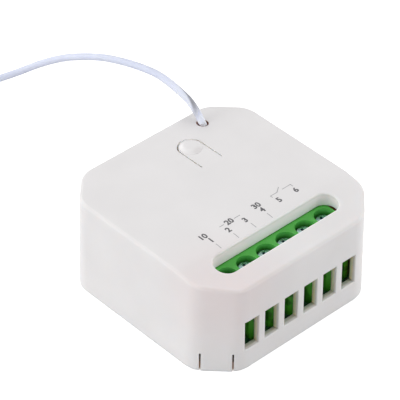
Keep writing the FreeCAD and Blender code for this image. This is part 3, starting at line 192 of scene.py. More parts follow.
# How much darker and lighter the noises make a colour
MOULD_TINT = (0.975, 1.015)
PLATING_TINT = (0.82, 1.08)
WIRE_TINT = (0.97, 1.03)
INK_TINT = (0.85, 1.35)

# How far the noises move a roughness down and up, and whole ranges of roughness
MOULD_ROUGHNESS = (-0.05, 0.06)
PLATING_ROUGHNESS = (-0.1, 0.15)
WIRE_ROUGHNESS = (0.5, 0.62)
LACQUER_ROUGHNESS = (0.25, 0.4)
INK_ROUGHNESS = 0.6

# Relief of the plating and the wire, in metres
PLATING_DEPTH = 0.000006
WIRE_DEPTH = 0.000008

# Weave below the board's lacquer: squares per metre, and how much lighter every other one is
WEAVE_SCALE = 2400
WEAVE_LIFT = 1.2
LACQUER_COLOUR = (0.03, 0.12, 0.06)

# Finish of the white and the green plastic: roughness, and scale and depth of the grain
HOUSING_FINISH = (0.5, 3600, 0.000004)
TERMINAL_FINISH = (0.36, 4200, 0.000003)

# Metals: material name, colour and roughness
ZINC_ROUGHNESS = 0.24
# The cages' steel is painted dark, as painted shade behind the windows
SHADED_CAGE_STEEL = ("oiled_steel", (0.30, 0.29, 0.22), 0.4)
CONTACT_BRASS = ("tinned_brass", (0.72, 0.66, 0.50), 0.32)
CRYSTAL_NICKEL = ("nickel", (0.70, 0.70, 0.68), 0.3)
CORE_COPPER = ("copper_core", (0.78, 0.42, 0.26), 0.35)

# Plastics inside: material name, colour, roughness, scale and depth of the grain, and its nodes
INSIDE_PLASTICS = (
    ("black_plastic", (0.02, 0.02, 0.022), 0.45, 3000, 0.000004, (
        "tact_switch_body", "tact_plunger", "filter_inductor", "bridge_rectifier",
        "flyback_diode", "relay_transistor", "converter_chip", "controller_chip",
        "radio_chip", "radio_header",
    )),
    ("blue_case", (0.04, 0.12, 0.35), 0.35, 2400, 0.000003, ("relay",)),
    ("brick_coating", (0.50, 0.13, 0.05), 0.3, 1200, 0.00001, ("film_capacitor",)),
    ("blue_coating", (0.03, 0.16, 0.40), 0.3, 1200, 0.00001, ("varistor",)),
    ("grey_coating", (0.30, 0.32, 0.32), 0.5, 1800, 0.000008, ("fuse_resistor",)),
    ("can_sleeve", (0.02, 0.02, 0.05), 0.3, 900, 0.000003, (
        "main_capacitor", "output_capacitor",
    )),
)

# Route of the free antenna wire, from the roof hole to its cut end
WIRE_ROUTE = (
    (0.01165, 0.0181, 0.0210),
    (0.0110, 0.0198, 0.0247),
    (0.00995, 0.0234, 0.0271),
    (0.0098, 0.0284, 0.0279),
    (0.0112, 0.0356, 0.0253),
    (0.0139, 0.0452, 0.0204),
    (0.0173, 0.0568, 0.0136),
    (0.0161, 0.0689, 0.0072),
    (0.0077, 0.0774, 0.0009),
    (-0.0054, 0.0817, 0.0008),
)

# Steps along the wire between two points of its route, and round a quarter of its section
WIRE_STEPS = 24
WIRE_ROUNDNESS = 6

# The copper core in the wire's cut end: its sides, its bevel as a share of its diameter, and how
# far its middle lies behind the end
CORE_SIDES = 24
CORE_BEVEL = 1 / 8
CORE_SINK = 0.2

# Print on the roof: height of a digit, baselines of the two rows, and each number's left end
DIGIT_HEIGHT = 0.00128
GROUP_ROW = -0.00795
POLE_ROW = -0.00960
NUMBERS = (
    ("10", -0.01285, GROUP_ROW),
    ("20", -0.00615, GROUP_ROW),
    ("30", 0.00085, GROUP_ROW),
    ("1", -0.01185, POLE_ROW),
    ("2", -0.00745, POLE_ROW),
    ("3", -0.00315, POLE_ROW),
    ("4", 0.00135, POLE_ROW),
    ("5", 0.00575, POLE_ROW),
    ("6", 0.01015, POLE_ROW),
)

# A digit's height as a share of the font's size, the steps in its curves, and how near two of its
# points are the same point
DIGIT_SHARE = 0.70
DIGIT_STEPS = 6
SAME_POINT = 0.000001

# Thin printed lines: the ticks that point at the poles, the bracket and the contact sign
TICK_START = -0.01045
TICK_END = -0.01180
TICKS = (-0.01146, -0.00697, -0.00253, 0.00172)
LINES = tuple(((across, TICK_START), (across, TICK_END)) for across in TICKS) + (
    ((-0.00760, -0.00732), (-0.00660, -0.00732)),
    ((-0.00385, -0.00732), (-0.00250, -0.00732)),
    ((0.00575, -0.00765), (0.00575, -0.00715)),
    ((0.00575, -0.00715), (0.00745, -0.00715)),
    ((0.00745, -0.00715), (0.00870, -0.00625)),
    ((0.00890, -0.00715), (0.01100, -0.00715)),
    ((0.01100, -0.00715), (0.01100, -0.00775)),
)

# The floor: how far below the object it lies, its own finish, and the painted brown shade that it
# shows through the slits, where the object stands on it
FLOOR_DROP = 0.00002
FLOOR_COLOUR = (0.5, 0.5, 0.5)
FLOOR_ROUGHNESS = 0.8
SHADED_FLOOR = (0.19, 0.105, 0.06)

# Soft lamps round the object: setting that holds the power, place and side of the square
LAMPS = (
    ("back", (-0.10, 0.58, 0.58), 0.60),
    ("left", (-0.80, 0.10, 0.20), 0.50),
    ("front", (0.35, -0.60, 0.35), 0.35),
    ("right", (0.70, -0.35, 0.12), 0.50),
)

# The camera's sensor, and the nearest and farthest places that it shows
SENSOR_WIDTH = 36.0
CLIP_START = 0.01
CLIP_END = 10.0


class ReceiverView(bpy.types.PropertyGroup):
    """Place and lens of the camera."""

    target: FloatVectorProperty(
        name="Target", description="Point that the camera looks at",
        default=(0.00598, 0.01248, 0.0080), subtype="XYZ", unit="LENGTH",
    )
    azimuth: FloatProperty(
        name="Azimuth", description="Turn round the object, 0 looking along +Y",
        default=math.radians(-43.418), subtype="ANGLE",
    )
    elevation: FloatProperty(
        name="Elevation", description="Height above the horizon",
        default=math.radians(39.310), subtype="ANGLE",
    )
    roll: FloatProperty(
        name="Roll", description="Tilt of the picture",
        default=math.radians(0.834), subtype="ANGLE",
    )
    distance: FloatProperty(
        name="Distance", description="From the camera to its target",
        default=0.48075, unit="LENGTH",
    )
    lens: FloatProperty(
        name="Lens", description="Focal length on a 36 mm wide sensor, in millimetres",
        default=219.53,
    )


class ReceiverColours(bpy.types.PropertyGroup):
    """Colours of the pieces that show."""

    housing: FloatVectorProperty(
        name="Housing", description="White moulded plastic",
        default=(0.805, 0.788, 0.79), subtype="COLOR", min=0, max=1,
    )
    terminals: FloatVectorProperty(
        name="Terminal strip", description="Green moulded plastic",
        default=(0.082, 0.495, 0.063), subtype="COLOR", min=0, max=1,
    )
    screws: FloatVectorProperty(
        name="Screws", description="Zinc plated steel",
        default=(0.52, 0.70, 0.74), subtype="COLOR", min=0, max=1,
    )
    wire: FloatVectorProperty(
        name="Antenna wire", description="Insulation of the wire",
        default=(0.79, 0.82, 0.93), subtype="COLOR", min=0, max=1,
    )
    ink: FloatVectorProperty(
        name="Print", description="Grey ink of the numbers",
        default=(0.10, 0.10, 0.105), subtype="COLOR", min=0, max=1,
    )
    fine_ink: FloatVectorProperty(
        name="Fine lines", description="Thin grey ink of the printed lines",
        default=(0.36, 0.36, 0.37), subtype="COLOR", min=0, max=1,
    )


class ReceiverWire(bpy.types.PropertyGroup):
    """Sizes of the antenna wire."""

    diameter: FloatProperty(
        name="Diameter", description="Over the insulation", default=0.0015, unit="LENGTH",
    )
    length: FloatProperty(
        name="Length", description="Quarter wave, from the roof to the cut end",
        default=0.0858, unit="LENGTH",
    )
    core: FloatProperty(
        name="Core", description="Diameter of the copper core", default=0.0006, unit="LENGTH",
    )


class ReceiverPrint(bpy.types.PropertyGroup):
    """Sizes of the print."""

    ink: FloatProperty(
        name="Ink", description="Thickness of the ink", default=0.00001, unit="LENGTH",
    )
    line: FloatProperty(
        name="Line", description="Width of a printed line", default=0.00014, unit="LENGTH",
    )
    step: FloatProperty(
        name="Step", description="Longest stretch of a line between two rows of points",
        default=0.0002, unit="LENGTH",
    )
    stroke: FloatProperty(
        name="Stroke", description="How much the digits' strokes are thickened",
        default=0.00006, unit="LENGTH",
    )


class ReceiverStage(bpy.types.PropertyGroup):
    """Floor and lights."""

    floor_side: FloatProperty(
        name="Floor", description="Side of the floor", default=2.4, unit="LENGTH",
    )
    glow: FloatProperty(
        name="Backdrop", description="Share of white that the floor shows by itself",
        default=0.8, min=0, max=1,
    )
    world: FloatProperty(
        name="Room light", description="Strength of the light from all round",
        default=0.481, min=0,
    )
    back: FloatProperty(
        name="Back", description="Power of the lamp behind", default=2.59, unit="POWER",
    )
    left: FloatProperty(
        name="Left", description="Power of the lamp on the left", default=3.25, unit="POWER",
    )
    front: FloatProperty(
        name="Front", description="Power of the lamp in front", default=1.32, unit="POWER",
    )
    right: FloatProperty(
        name="Right", description="Power of the lamp on the right", default=2.13, unit="POWER",
    )


def settings(name):
    """One group of settings of the current scene."""
    return getattr(bpy.context.scene, f"receiver_{name}")


def new_material(name):
    """Material with its node tree and its shader."""
    material = bpy.data.materials.new(name)
    material.use_nodes = True
    tree = material.node_tree
    return material, tree, tree.nodes["Principled BSDF"]


def feed(tree, socket, value):
    """Give a socket another socket's value, or a plain one; a colour is opaque."""
    if isinstance(value, bpy.types.NodeSocket):
        tree.links.new(value, socket)
    elif socket.type == "RGBA":
        socket.default_value = (*value, 1)
    else:
        socket.default_value = value


def add_object_place(tree):
    """Place on the piece, in its own coordinates."""
    return tree.nodes.new("ShaderNodeTexCoord").outputs["Object"]


def add_places(tree):
    """The piece's own three coordinates, in metres."""
    parts = tree.nodes.new("ShaderNodeSeparateXYZ")
    feed(tree, parts.inputs["Vector"], add_object_place(tree))
    return parts.outputs["X"], parts.outputs["Y"], parts.outputs["Z"]


def add_distance(tree, centre):
    """Distance from a point, in the piece's own coordinates."""
    gap = tree.nodes.new("ShaderNodeVectorMath")
    gap.operation = "DISTANCE"
    feed(tree, gap.inputs[0], add_object_place(tree))
    feed(tree, gap.inputs[1], centre)
    return gap.outputs["Value"]


def add_math(tree, operation, first, second=0.0):
    """Result of a math node on two numbers or sockets."""
    step = tree.nodes.new("ShaderNodeMath")
    step.operation = operation
    feed(tree, step.inputs[0], first)
    feed(tree, step.inputs[1], second)
    return step.outputs["Value"]


def add_product(tree, first, *others):
    """Product of several numbers or sockets."""
    for other in others:
        first = add_math(tree, "MULTIPLY", first, other)
    return first


def add_noise(tree, scale, detail, roughness=0.5):
    """Noise over the piece's own coordinates; scale is in turns per metre."""
    noise = tree.nodes.new("ShaderNodeTexNoise")
    feed(tree, noise.inputs["Scale"], scale)
    feed(tree, noise.inputs["Detail"], detail)
    feed(tree, noise.inputs["Roughness"], roughness)
    feed(tree, noise.inputs["Vector"], add_object_place(tree))
    return noise.outputs["Fac"]


def add_range(tree, value, source, target):
    """Number moved from one range to another, and kept in it."""
    spread = tree.nodes.new("ShaderNodeMapRange")
    feed(tree, spread.inputs["From Min"], source[0])
    feed(tree, spread.inputs["From Max"], source[1])
    feed(tree, spread.inputs["To Min"], target[0])
    feed(tree, spread.inputs["To Max"], target[1])
    feed(tree, spread.inputs["Value"], value)
    return spread.outputs["Result"]


def add_spread_noise(tree, noise, low, high):
    """Noise whose middle is spread over a range."""
    return add_range(tree, add_noise(tree, *noise), NOISE_MIDDLE, (low, high))


def add_fade(tree, value, span, amount=1.0):
    """Smooth change along a span, from 0 at its first place to an amount at its second."""
    start, end = span
    target = (0.0, amount) if start < end else (amount, 0.0)
    result = add_range(tree, value, (min(span), max(span)), target)
    result.node.interpolation_type = "SMOOTHSTEP"
    return result


def add_near(tree, centre, span):
    """Share that fades in towards a point."""
    return add_fade(tree, add_distance(tree, centre), span)


def add_mix(tree, share, first, second, blend="MIX"):
    """Mix of two colours or sockets, by a share."""
    mix = tree.nodes.new("ShaderNodeMix")
    mix.data_type = "RGBA"
    mix.blend_type = blend
    feed(tree, mix.inputs["Factor"], share)
    colours = [socket for socket in mix.inputs if socket.type == "RGBA"]
    feed(tree, colours[0], first)
    feed(tree, colours[1], second)
    return next(socket for socket in mix.outputs if socket.type == "RGBA")


def add_tint(tree, noise, colour, low, high):
    """Colour that a noise makes darker or lighter, between two factors."""
    darker, lighter = ([min(1.0, channel * factor) for channel in colour] for factor in (low, high))
    return add_mix(tree, add_spread_noise(tree, noise, 0, 1), darker, lighter)


def add_bump(tree, shader, noise, depth):
    """Relief of a depth in metres, from a noise."""
    bump = tree.nodes.new("ShaderNodeBump")
    feed(tree, bump.inputs["Distance"], depth)
    feed(tree, bump.inputs["Height"], add_noise(tree, *noise))
    feed(tree, shader.inputs["Normal"], bump.outputs["Normal"])


def add_scatter(shader, share, radius, spread):
    """Light that scatters below the surface: its share, its reach for each colour and its reach."""
    shader.inputs["Subsurface Weight"].default_value = share
    shader.inputs["Subsurface Radius"].default_value = radius
    shader.inputs["Subsurface Scale"].default_value = spread


def stain_and_paint_light(material, share, colour):
    """Multiply a material's colour by another one where a share of its tree says so; used for
    painted light and shade, and for the random mottle and the wire's streak.
    """
    tree = material.node_tree
    socket = tree.nodes["Principled BSDF"].inputs["Base Color"]
    stained = add_mix(tree, share, socket.links[0].from_socket, colour, "MULTIPLY")
    tree.links.new(stained, socket)


def moulded_plastic(name, colour, roughness, grain, depth, scatter=0.0, spread=PLASTIC_SPREAD):
    """Moulded plastic: faint cloudiness, uneven sheen and the fine grain of an eroded mould."""
    material, tree, shader = new_material(name)
    feed(tree, shader.inputs["Base Color"], add_tint(tree, MOULD_CLOUD, colour, *MOULD_TINT))
    finish = [roughness + change for change in MOULD_ROUGHNESS]
    feed(tree, shader.inputs["Roughness"], add_spread_noise(tree, MOULD_SHEEN, *finish))
    add_bump(tree, shader, (grain, *GRAIN_DETAIL), depth)
    add_scatter(shader, scatter, PLASTIC_SCATTER_RADIUS, spread)
    return material


def add_reach(tree):
    """How far out a place lies: towards the nearest side, and both ways together."""
    across, along, _ = add_places(tree)
    across = add_math(tree, "ABSOLUTE", across)
    along = add_math(tree, "ABSOLUTE", along)
    return add_math(tree, "MAXIMUM", across, along), add_math(tree, "ADD", across, along)


def add_skin_depths(tree):
    """Depths below the outer skin of the housing's walls, and below its roof."""
    _, along, height = add_places(tree)
    farther, together = add_reach(tree)
    side = add_math(tree, "SUBTRACT", HALF_SIDE, farther)
    corner = add_math(tree, "SUBTRACT", CORNER_SUM, together)
    corner = add_math(tree, "DIVIDE", corner, math.sqrt(2))
    lean = add_product(tree, height, DRAFT_SLOPE)
    wall = add_math(tree, "SUBTRACT", add_math(tree, "MINIMUM", side, corner), lean)
    slope = add_math(tree, "ADD", add_product(tree, along, SLOPE_RISE), SLOPE_LEVEL)
    roof = add_math(tree, "SUBTRACT", add_math(tree, "MINIMUM", slope, ROOF_LEVEL), height)
    return wall, roof


def paint_walls_light_and_shade(material, wall, roof, inner, low):
    """Paint light on the housing's cut edges and slot wall, and paint shade on its sills and slits,
    the roof's edge and one corner.
    """
    tree = material.node_tree
    height = add_places(tree)[2]
    on_edge = add_product(
        tree, add_fade(tree, wall, ROOF_EDGE_SPAN), add_fade(tree, roof, ROOF_EDGE_SPAN),
    )
    # Painted light on the window reveals and slot wall, painted shade on the sills, slits, roof
    # edge and corner
    stain_and_paint_light(material, low, WALL_PAINTED_LIGHT)
    stain_and_paint_light(material, add_math(tree, "SUBTRACT", inner, low), SLOT_PAINTED_LIGHT)
    stain_and_paint_light(material, add_product(tree, low, add_fade(tree, height, SILL_SPAN)), SILL_PAINTED_SHADE)
    stain_and_paint_light(material, add_product(tree, low, add_fade(tree, height, SLIT_SPAN)), SLIT_PAINTED_SHADE)
    stain_and_paint_light(material, on_edge, ROOF_EDGE_PAINTED_SHADE)
    stain_and_paint_light(material, add_near(tree, WARM_CORNER, CORNER_SPAN), CORNER_PAINTED_SHADE)


def paint_slot_rim_highlight(material, roof):
    """Paint a highlight on the slot's front rim, along its straight part."""
    tree = material.node_tree
    across, along, _ = add_places(tree)
    rim = add_product(
        tree,
        add_fade(tree, along, RIM_FRONT_SPAN),
        add_fade(tree, along, RIM_BACK_SPAN),
        add_fade(tree, add_math(tree, "ABSOLUTE", across), RIM_END_SPAN),
        add_fade(tree, roof, RIM_DEPTH_SPAN),
    )
    # Painted highlight on the slot's front rim
    stain_and_paint_light(material, rim, FRONT_RIM_HIGHLIGHT)


def paint_pad_light(material):
    """Paint shade on one side of the button's pad and a highlight on the other."""
    tree = material.node_tree
    on_pad = add_fade(tree, add_places(tree)[2], ON_PAD_SPAN)
    # Painted shade on one side of the pad, painted highlight on the other
    for place, span, tone in PAD_SIDES:
        stain_and_paint_light(material, add_product(tree, add_near(tree, place, span), on_pad), tone)


def scatter_in_edges(material, thin):
    """Let light scatter in the housing, more in its thin edges and none at the roof's top."""
    tree = material.node_tree
    shader = tree.nodes["Principled BSDF"]
    skin = add_fade(tree, add_places(tree)[2], SCATTER_SPAN, SKIN_SCATTER)
    share = add_math(tree, "ADD", skin, add_product(tree, thin, EDGE_SCATTER))
    spread = add_math(tree, "ADD", add_product(tree, thin, EDGE_SPREAD), SKIN_SPREAD)
    feed(tree, shader.inputs["Subsurface Weight"], share)
    feed(tree, shader.inputs["Subsurface Scale"], spread)


def housing_plastic(name, colour):
    """White housing plastic, with painted light and shade at its cut edges, openings and button as
    in the photo.
    """
    material = moulded_plastic(name, colour, *HOUSING_FINISH)
    tree = material.node_tree
    height = add_places(tree)[2]
    wall, roof = add_skin_depths(tree)
    inner = add_fade(tree, add_math(tree, "MINIMUM", wall, roof), INNER_SPAN)
    low = add_product(tree, inner, add_fade(tree, height, LOW_SPAN))
    paint_walls_light_and_shade(material, wall, roof, inner, low)
    paint_slot_rim_highlight(material, roof)
    under_top = add_fade(tree, height, UNDER_TOP_SPAN)
    # Painted brown shade in the antenna hole
    at_hole = add_product(tree, add_near(tree, WIRE_ROUTE[0], HOLE_SPAN), under_top)
    stain_and_paint_light(material, at_hole, HOLE_PAINTED_SHADE)
    # Painted light in the button tab's slits
    at_tab = add_product(tree, add_near(tree, TAB_CENTRE, TAB_SPAN), under_top)
    tab_skin = add_math(tree, "SUBTRACT", at_tab, add_math(tree, "MINIMUM", at_tab, inner))
    stain_and_paint_light(material, tab_skin, TAB_PAINTED_LIGHT)
    paint_pad_light(material)
    scatter_in_edges(material, add_math(tree, "MAXIMUM", low, at_tab))
    return material


def terminal_plastic(name, colour):
    """Green terminal plastic: painted shade in its wells and at the slot, painted light that makes
    it yellower behind the windows.
    """
    material = moulded_plastic(name, colour, *TERMINAL_FINISH, TERMINAL_SCATTER)
    tree = material.node_tree
    _, along, height = add_places(tree)
    # Painted shade in the wells, deeper down
    stain_and_paint_light(material, add_fade(tree, height, WELL_SPAN), WELL_PAINTED_SHADE)
    # Painted light, yellower, on the green behind the windows
    low = add_fade(tree, height, WINDOW_SPAN)
    stain_and_paint_light(material, low, WINDOW_PAINTED_LIGHT)
    mottle = add_fade(tree, add_noise(tree, *WINDOW_MOTTLE), MOTTLE_SPAN)
    stain_and_paint_light(material, add_product(tree, mottle, low), MOTTLE_STAIN)
    # Painted shade at the strip's rear edge, below the slot's wall
    stain_and_paint_light(material, add_fade(tree, along, STRIP_EDGE_SPAN), STRIP_EDGE_PAINTED_SHADE)
    return material


def plated_metal(name, colour, roughness):
    """Plated metal: slightly clouded plating with fine drawn marks."""
    material, tree, shader = new_material(name)
    shader.inputs["Metallic"].default_value = 1.0
    feed(tree, shader.inputs["Base Color"], add_tint(tree, PLATING_CLOUD, colour, *PLATING_TINT))
    finish = [roughness + change for change in PLATING_ROUGHNESS]
    feed(tree, shader.inputs["Roughness"], add_spread_noise(tree, PLATING_MARKS, *finish))
    add_bump(tree, shader, PLATING_RELIEF, PLATING_DEPTH)
    return material


def screw_metal(name, colour):
    """Zinc plating, with painted shade down in the recess of a screw's head."""
    material = plated_metal(name, colour, ZINC_ROUGHNESS)
    tree = material.node_tree
    height = add_places(tree)[2]
    # Painted shade down in the recess
    recess = add_product(
        tree, add_fade(tree, height, RECESS_SPAN), add_fade(tree, height, HEAD_FOOT_SPAN),
    )
    stain_and_paint_light(material, recess, RECESS_PAINTED_SHADE)
    return material


def insulation(name, colour):
    """Soft insulation of the wire: a satin skin, painted shade along the arch, and darker along a
    line on one side.
    """
    material, tree, shader = new_material(name)
    feed(tree, shader.inputs["Base Color"], add_tint(tree, WIRE_CLOUD, colour, *WIRE_TINT))
    across, along, _ = add_places(tree)
    # Painted shade along the wire's arch, weaker past it
    past_arch = add_fade(tree, along, PAST_ARCH_SPAN, 1 - PAST_ARCH_SHARE)
    past_arch = add_math(tree, "ADD", past_arch, PAST_ARCH_SHARE)
    stain_and_paint_light(material, add_product(tree, add_fade(tree, along, ARCH_SPAN), past_arch), ARCH_PAINTED_SHADE)
    streak = add_product(
        tree,
        add_fade(tree, along, STREAK_START_SPAN),
        add_fade(tree, along, STREAK_END_SPAN),
        add_fade(tree, across, STREAK_SIDE_SPAN),
    )
    stain_and_paint_light(material, streak, STREAK_DARKENING)
    feed(tree, shader.inputs["Roughness"], add_spread_noise(tree, WIRE_SHEEN, *WIRE_ROUGHNESS))
    add_bump(tree, shader, WIRE_RELIEF, WIRE_DEPTH)
    shader.inputs["Specular IOR Level"].default_value = WIRE_SPECULAR
    add_scatter(shader, WIRE_SCATTER, WIRE_SCATTER_RADIUS, WIRE_SPREAD)
    return material


def flat_ink(name, colour):
    """Pad-printed ink, a little thinner here and there."""
    material, tree, shader = new_material(name)
    feed(tree, shader.inputs["Base Color"], add_tint(tree, INK_PATCHES, colour, *INK_TINT))
    shader.inputs["Roughness"].default_value = INK_ROUGHNESS
    return material


def solder_mask(name, colour):
    """Board lacquer with a faint weave of the glass cloth below it."""
    material, tree, shader = new_material(name)
    weave = tree.nodes.new("ShaderNodeTexChecker")
    feed(tree, weave.inputs["Scale"], WEAVE_SCALE)
    feed(tree, weave.inputs["Color1"], colour)
    feed(tree, weave.inputs["Color2"], [min(1.0, channel * WEAVE_LIFT) for channel in colour])
    feed(tree, weave.inputs["Vector"], add_object_place(tree))
    feed(tree, shader.inputs["Base Color"], weave.outputs["Color"])
    sheen = add_spread_noise(tree, LACQUER_SHEEN, *LACQUER_ROUGHNESS)
    feed(tree, shader.inputs["Roughness"], sheen)
    return material


def dress(nodes, material):
    """Give CAD nodes a material."""
    for node in nodes:
        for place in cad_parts[node].material_slots:
            place.material = material


def numbered(stem):
    """Names of the six like nodes of the terminal strip."""
    return [f"{stem}_{pole}" for pole in range(1, POLES + 1)]


def new_mesh(name, form):
    """Mesh from a finished bmesh, which is freed."""
    mesh = bpy.data.meshes.new(name)
    form.to_mesh(mesh)
    form.free()
    return mesh


def finish_piece(name, form, material):
    """Object from a finished bmesh, riding on the module."""
    piece = bpy.data.objects.new(name, new_mesh(name, form))
    bpy.context.scene.collection.objects.link(piece)
    piece.data.materials.append(material)
    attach(piece, BODY)
    return piece


def lay_on_roof(ink, lift):
    """Drop flat print on the roof, and give it its thickness."""
    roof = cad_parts[ROOF]
    for corner in ink.verts:
        start = Vector((corner.co.x, corner.co.y, ROOF_TOP + lift))
        found, place, _, _ = roof.ray_cast(start, Vector((0, 0, -1)))
        if not found:
            raise RuntimeError("the print runs off the roof")
        corner.co.z = place.z + lift / 2
    bmesh.ops.solidify(ink, geom=ink.faces[:], thickness=-lift)
    bmesh.ops.recalc_face_normals(ink, faces=ink.faces[:])


class RECEIVER_OT_camera(bpy.types.Operator):
    """Add the camera."""

    bl_idname = "receiver.camera"
    bl_label = "Camera"

    def execute(self, context):
        view = settings("view")
        around, above = view.azimuth, view.elevation
        back = Vector((
            math.sin(around) * math.cos(above),
            -math.cos(around) * math.cos(above),
            math.sin(above),
        ))
        level = Vector((math.cos(around), math.sin(around), 0))
        roll = Matrix.Rotation(view.roll, 3, back)
        turn = Matrix((roll @ level, roll @ back.cross(level), back)).transposed().to_4x4()
        camera = bpy.data.objects.new("camera", bpy.data.cameras.new("camera"))
        camera.data.sensor_width = SENSOR_WIDTH
        camera.data.lens = view.lens
        camera.data.clip_start = CLIP_START
        camera.data.clip_end = CLIP_END
        place = Vector(view.target) + back * view.distance
        camera.matrix_world = Matrix.Translation(place) @ turn
        context.scene.collection.objects.link(camera)
        context.scene.camera = camera
        return {"FINISHED"}


class RECEIVER_OT_antenna(bpy.types.Operator):
    """Make the antenna wire and the copper end of its core."""

    bl_idname = "receiver.antenna"
    bl_label = "Antenna wire"

    def execute(self, context):
        wire = settings("wire")
        skin = insulation("wire_insulation", settings("colours").wire)
        piece = bpy.data.objects.new("antenna", self.curve(wire, skin))
        context.scene.collection.objects.link(piece)
        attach(piece, BODY)
        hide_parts("antenna_wire")
        dress(["antenna_lead"], skin)
        tip = self.core_end(wire)
        return {"FINISHED"}

    def curve(self, wire, skin):
        """Round curve along the wire's route."""
        line = bpy.data.curves.new("antenna", "CURVE")
        line.dimensions = "3D"
        spline = line.splines.new("NURBS")
        spline.points.add(len(WIRE_ROUTE) - 1)
        for point, place in zip(spline.points, WIRE_ROUTE):
            point.co = (*place, 1)
        spline.order_u = 3
        spline.use_endpoint_u = True
        spline.resolution_u = WIRE_STEPS
        line.bevel_depth = wire.diameter / 2
        line.bevel_resolution = WIRE_ROUNDNESS
        line.use_fill_caps = True
        line.materials.append(skin)
        return line

    def core_end(self, wire):
        """Copper core that shows in the cut end of the insulation."""
        end, before = Vector(WIRE_ROUTE[-1]), Vector(WIRE_ROUTE[-2])
        way = (end - before).normalized()
        core = bmesh.new()
        bmesh.ops.create_cone(
            core, cap_ends=True, segments=CORE_SIDES,
            radius1=wire.core / 2, radius2=wire.core / 2, depth=wire.core,
        )
        rim = [edge for edge in core.edges if all(corner.co.z > 0 for corner in edge.verts)]
        bmesh.ops.bevel(
            core, geom=rim, offset=wire.core * CORE_BEVEL, offset_type="OFFSET", segments=2,
            profile=0.5, affect="EDGES", material=-1,
        )
        place = Matrix.Translation(end - way * wire.core * CORE_SINK)
        turn = way.to_track_quat("Z", "Y").to_matrix().to_4x4()
        bmesh.ops.transform(core, matrix=place @ turn, verts=core.verts)
        return finish_piece("antenna_core", core, plated_metal(*CORE_COPPER))


class RECEIVER_OT_housing(bpy.types.Operator):
    """Finish the white housing, its button tab and the base cover."""

    bl_idname = "receiver.housing"
    bl_label = "Housing"

    def execute(self, context):
        white = housing_plastic("white_housing", settings("colours").housing)
        dress([ROOF, "base_cover", "button_tab"], white)
        return {"FINISHED"}


class RECEIVER_OT_terminals(bpy.types.Operator):
    """Finish the terminal strip, its screws, cages and contacts."""

    bl_idname = "receiver.terminals"
    bl_label = "Terminals"

    def execute(self, context):
        colours = settings("colours")
        dress(["terminal_block"], terminal_plastic("green_terminal", colours.terminals))
        dress(numbered("terminal_screw"), screw_metal("zinc", colours.screws))
        dress(numbered("terminal_cage"), plated_metal(*SHADED_CAGE_STEEL))
        dress(["terminal_contacts"], plated_metal(*CONTACT_BRASS))
        return {"FINISHED"}


class RECEIVER_OT_print(bpy.types.Operator):
    """Print the numbers and fine lines on the roof."""

    bl_idname = "receiver.print"
    bl_label = "Print"

    def execute(self, context):
        colours = settings("colours")
        sizes = settings("print")
        prints = (
            ("printed_numbers", self.numbers(sizes), flat_ink("grey_ink", colours.ink)),
            ("printed_lines", self.lines(sizes), flat_ink("fine_grey_ink", colours.fine_ink)),
        )
        for name, flat, ink in prints:
            lay_on_roof(flat, sizes.ink)
            if not finish_piece(name, flat, ink).data.polygons:
                raise RuntimeError(f"{name}: nothing was printed")
        return {"FINISHED"}

    def numbers(self, sizes):
        """Flat form of all the numbers."""
        flat = bmesh.new()
        for text, left, baseline in NUMBERS:
            curve = bpy.data.curves.new("number", "FONT")
            curve.body = text
            curve.size = DIGIT_HEIGHT / DIGIT_SHARE
            curve.offset = sizes.stroke
            curve.resolution_u = DIGIT_STEPS
            letter = bpy.data.objects.new("number", curve)
            digits = bpy.data.meshes.new_from_object(letter)
            digits.transform(Matrix.Translation((left, baseline, 0)))
            flat.from_mesh(digits)
            bpy.data.meshes.remove(digits)
            bpy.data.objects.remove(letter)
            bpy.data.curves.remove(curve)
        bmesh.ops.remove_doubles(flat, verts=flat.verts[:], dist=SAME_POINT)
        bmesh.ops.triangulate(flat, faces=flat.faces[:])
        return flat

    def lines(self, sizes):
        """Flat form of all the fine lines, in short steps so that they follow the roof."""
        flat = bmesh.new()
        for start, end in LINES:
            run = Vector(end) - Vector(start)
            middle = (Vector(end) + Vector(start)) / 2
            place = Matrix.Translation((*middle, 0))
            turn = Matrix.Rotation(math.atan2(run.y, run.x), 4, "Z")
            spread = Matrix.Diagonal((run.length + sizes.line, sizes.line, 1, 1))
            bmesh.ops.create_grid(
                flat, x_segments=max(1, math.ceil(run.length / sizes.step)), y_segments=1,
                size=0.5, matrix=place @ turn @ spread,
            )
        return flat


class RECEIVER_OT_insides(bpy.types.Operator):
    """Finish what stands on the board inside."""

    bl_idname = "receiver.insides"
    bl_label = "Insides"

    def execute(self, context):
        dress(["circuit_board", "radio_board"], solder_mask("board_lacquer", LACQUER_COLOUR))
        for *finish, nodes in INSIDE_PLASTICS:
            dress(nodes, moulded_plastic(*finish))
        dress(["radio_crystal"], plated_metal(*CRYSTAL_NICKEL))
        return {"FINISHED"}


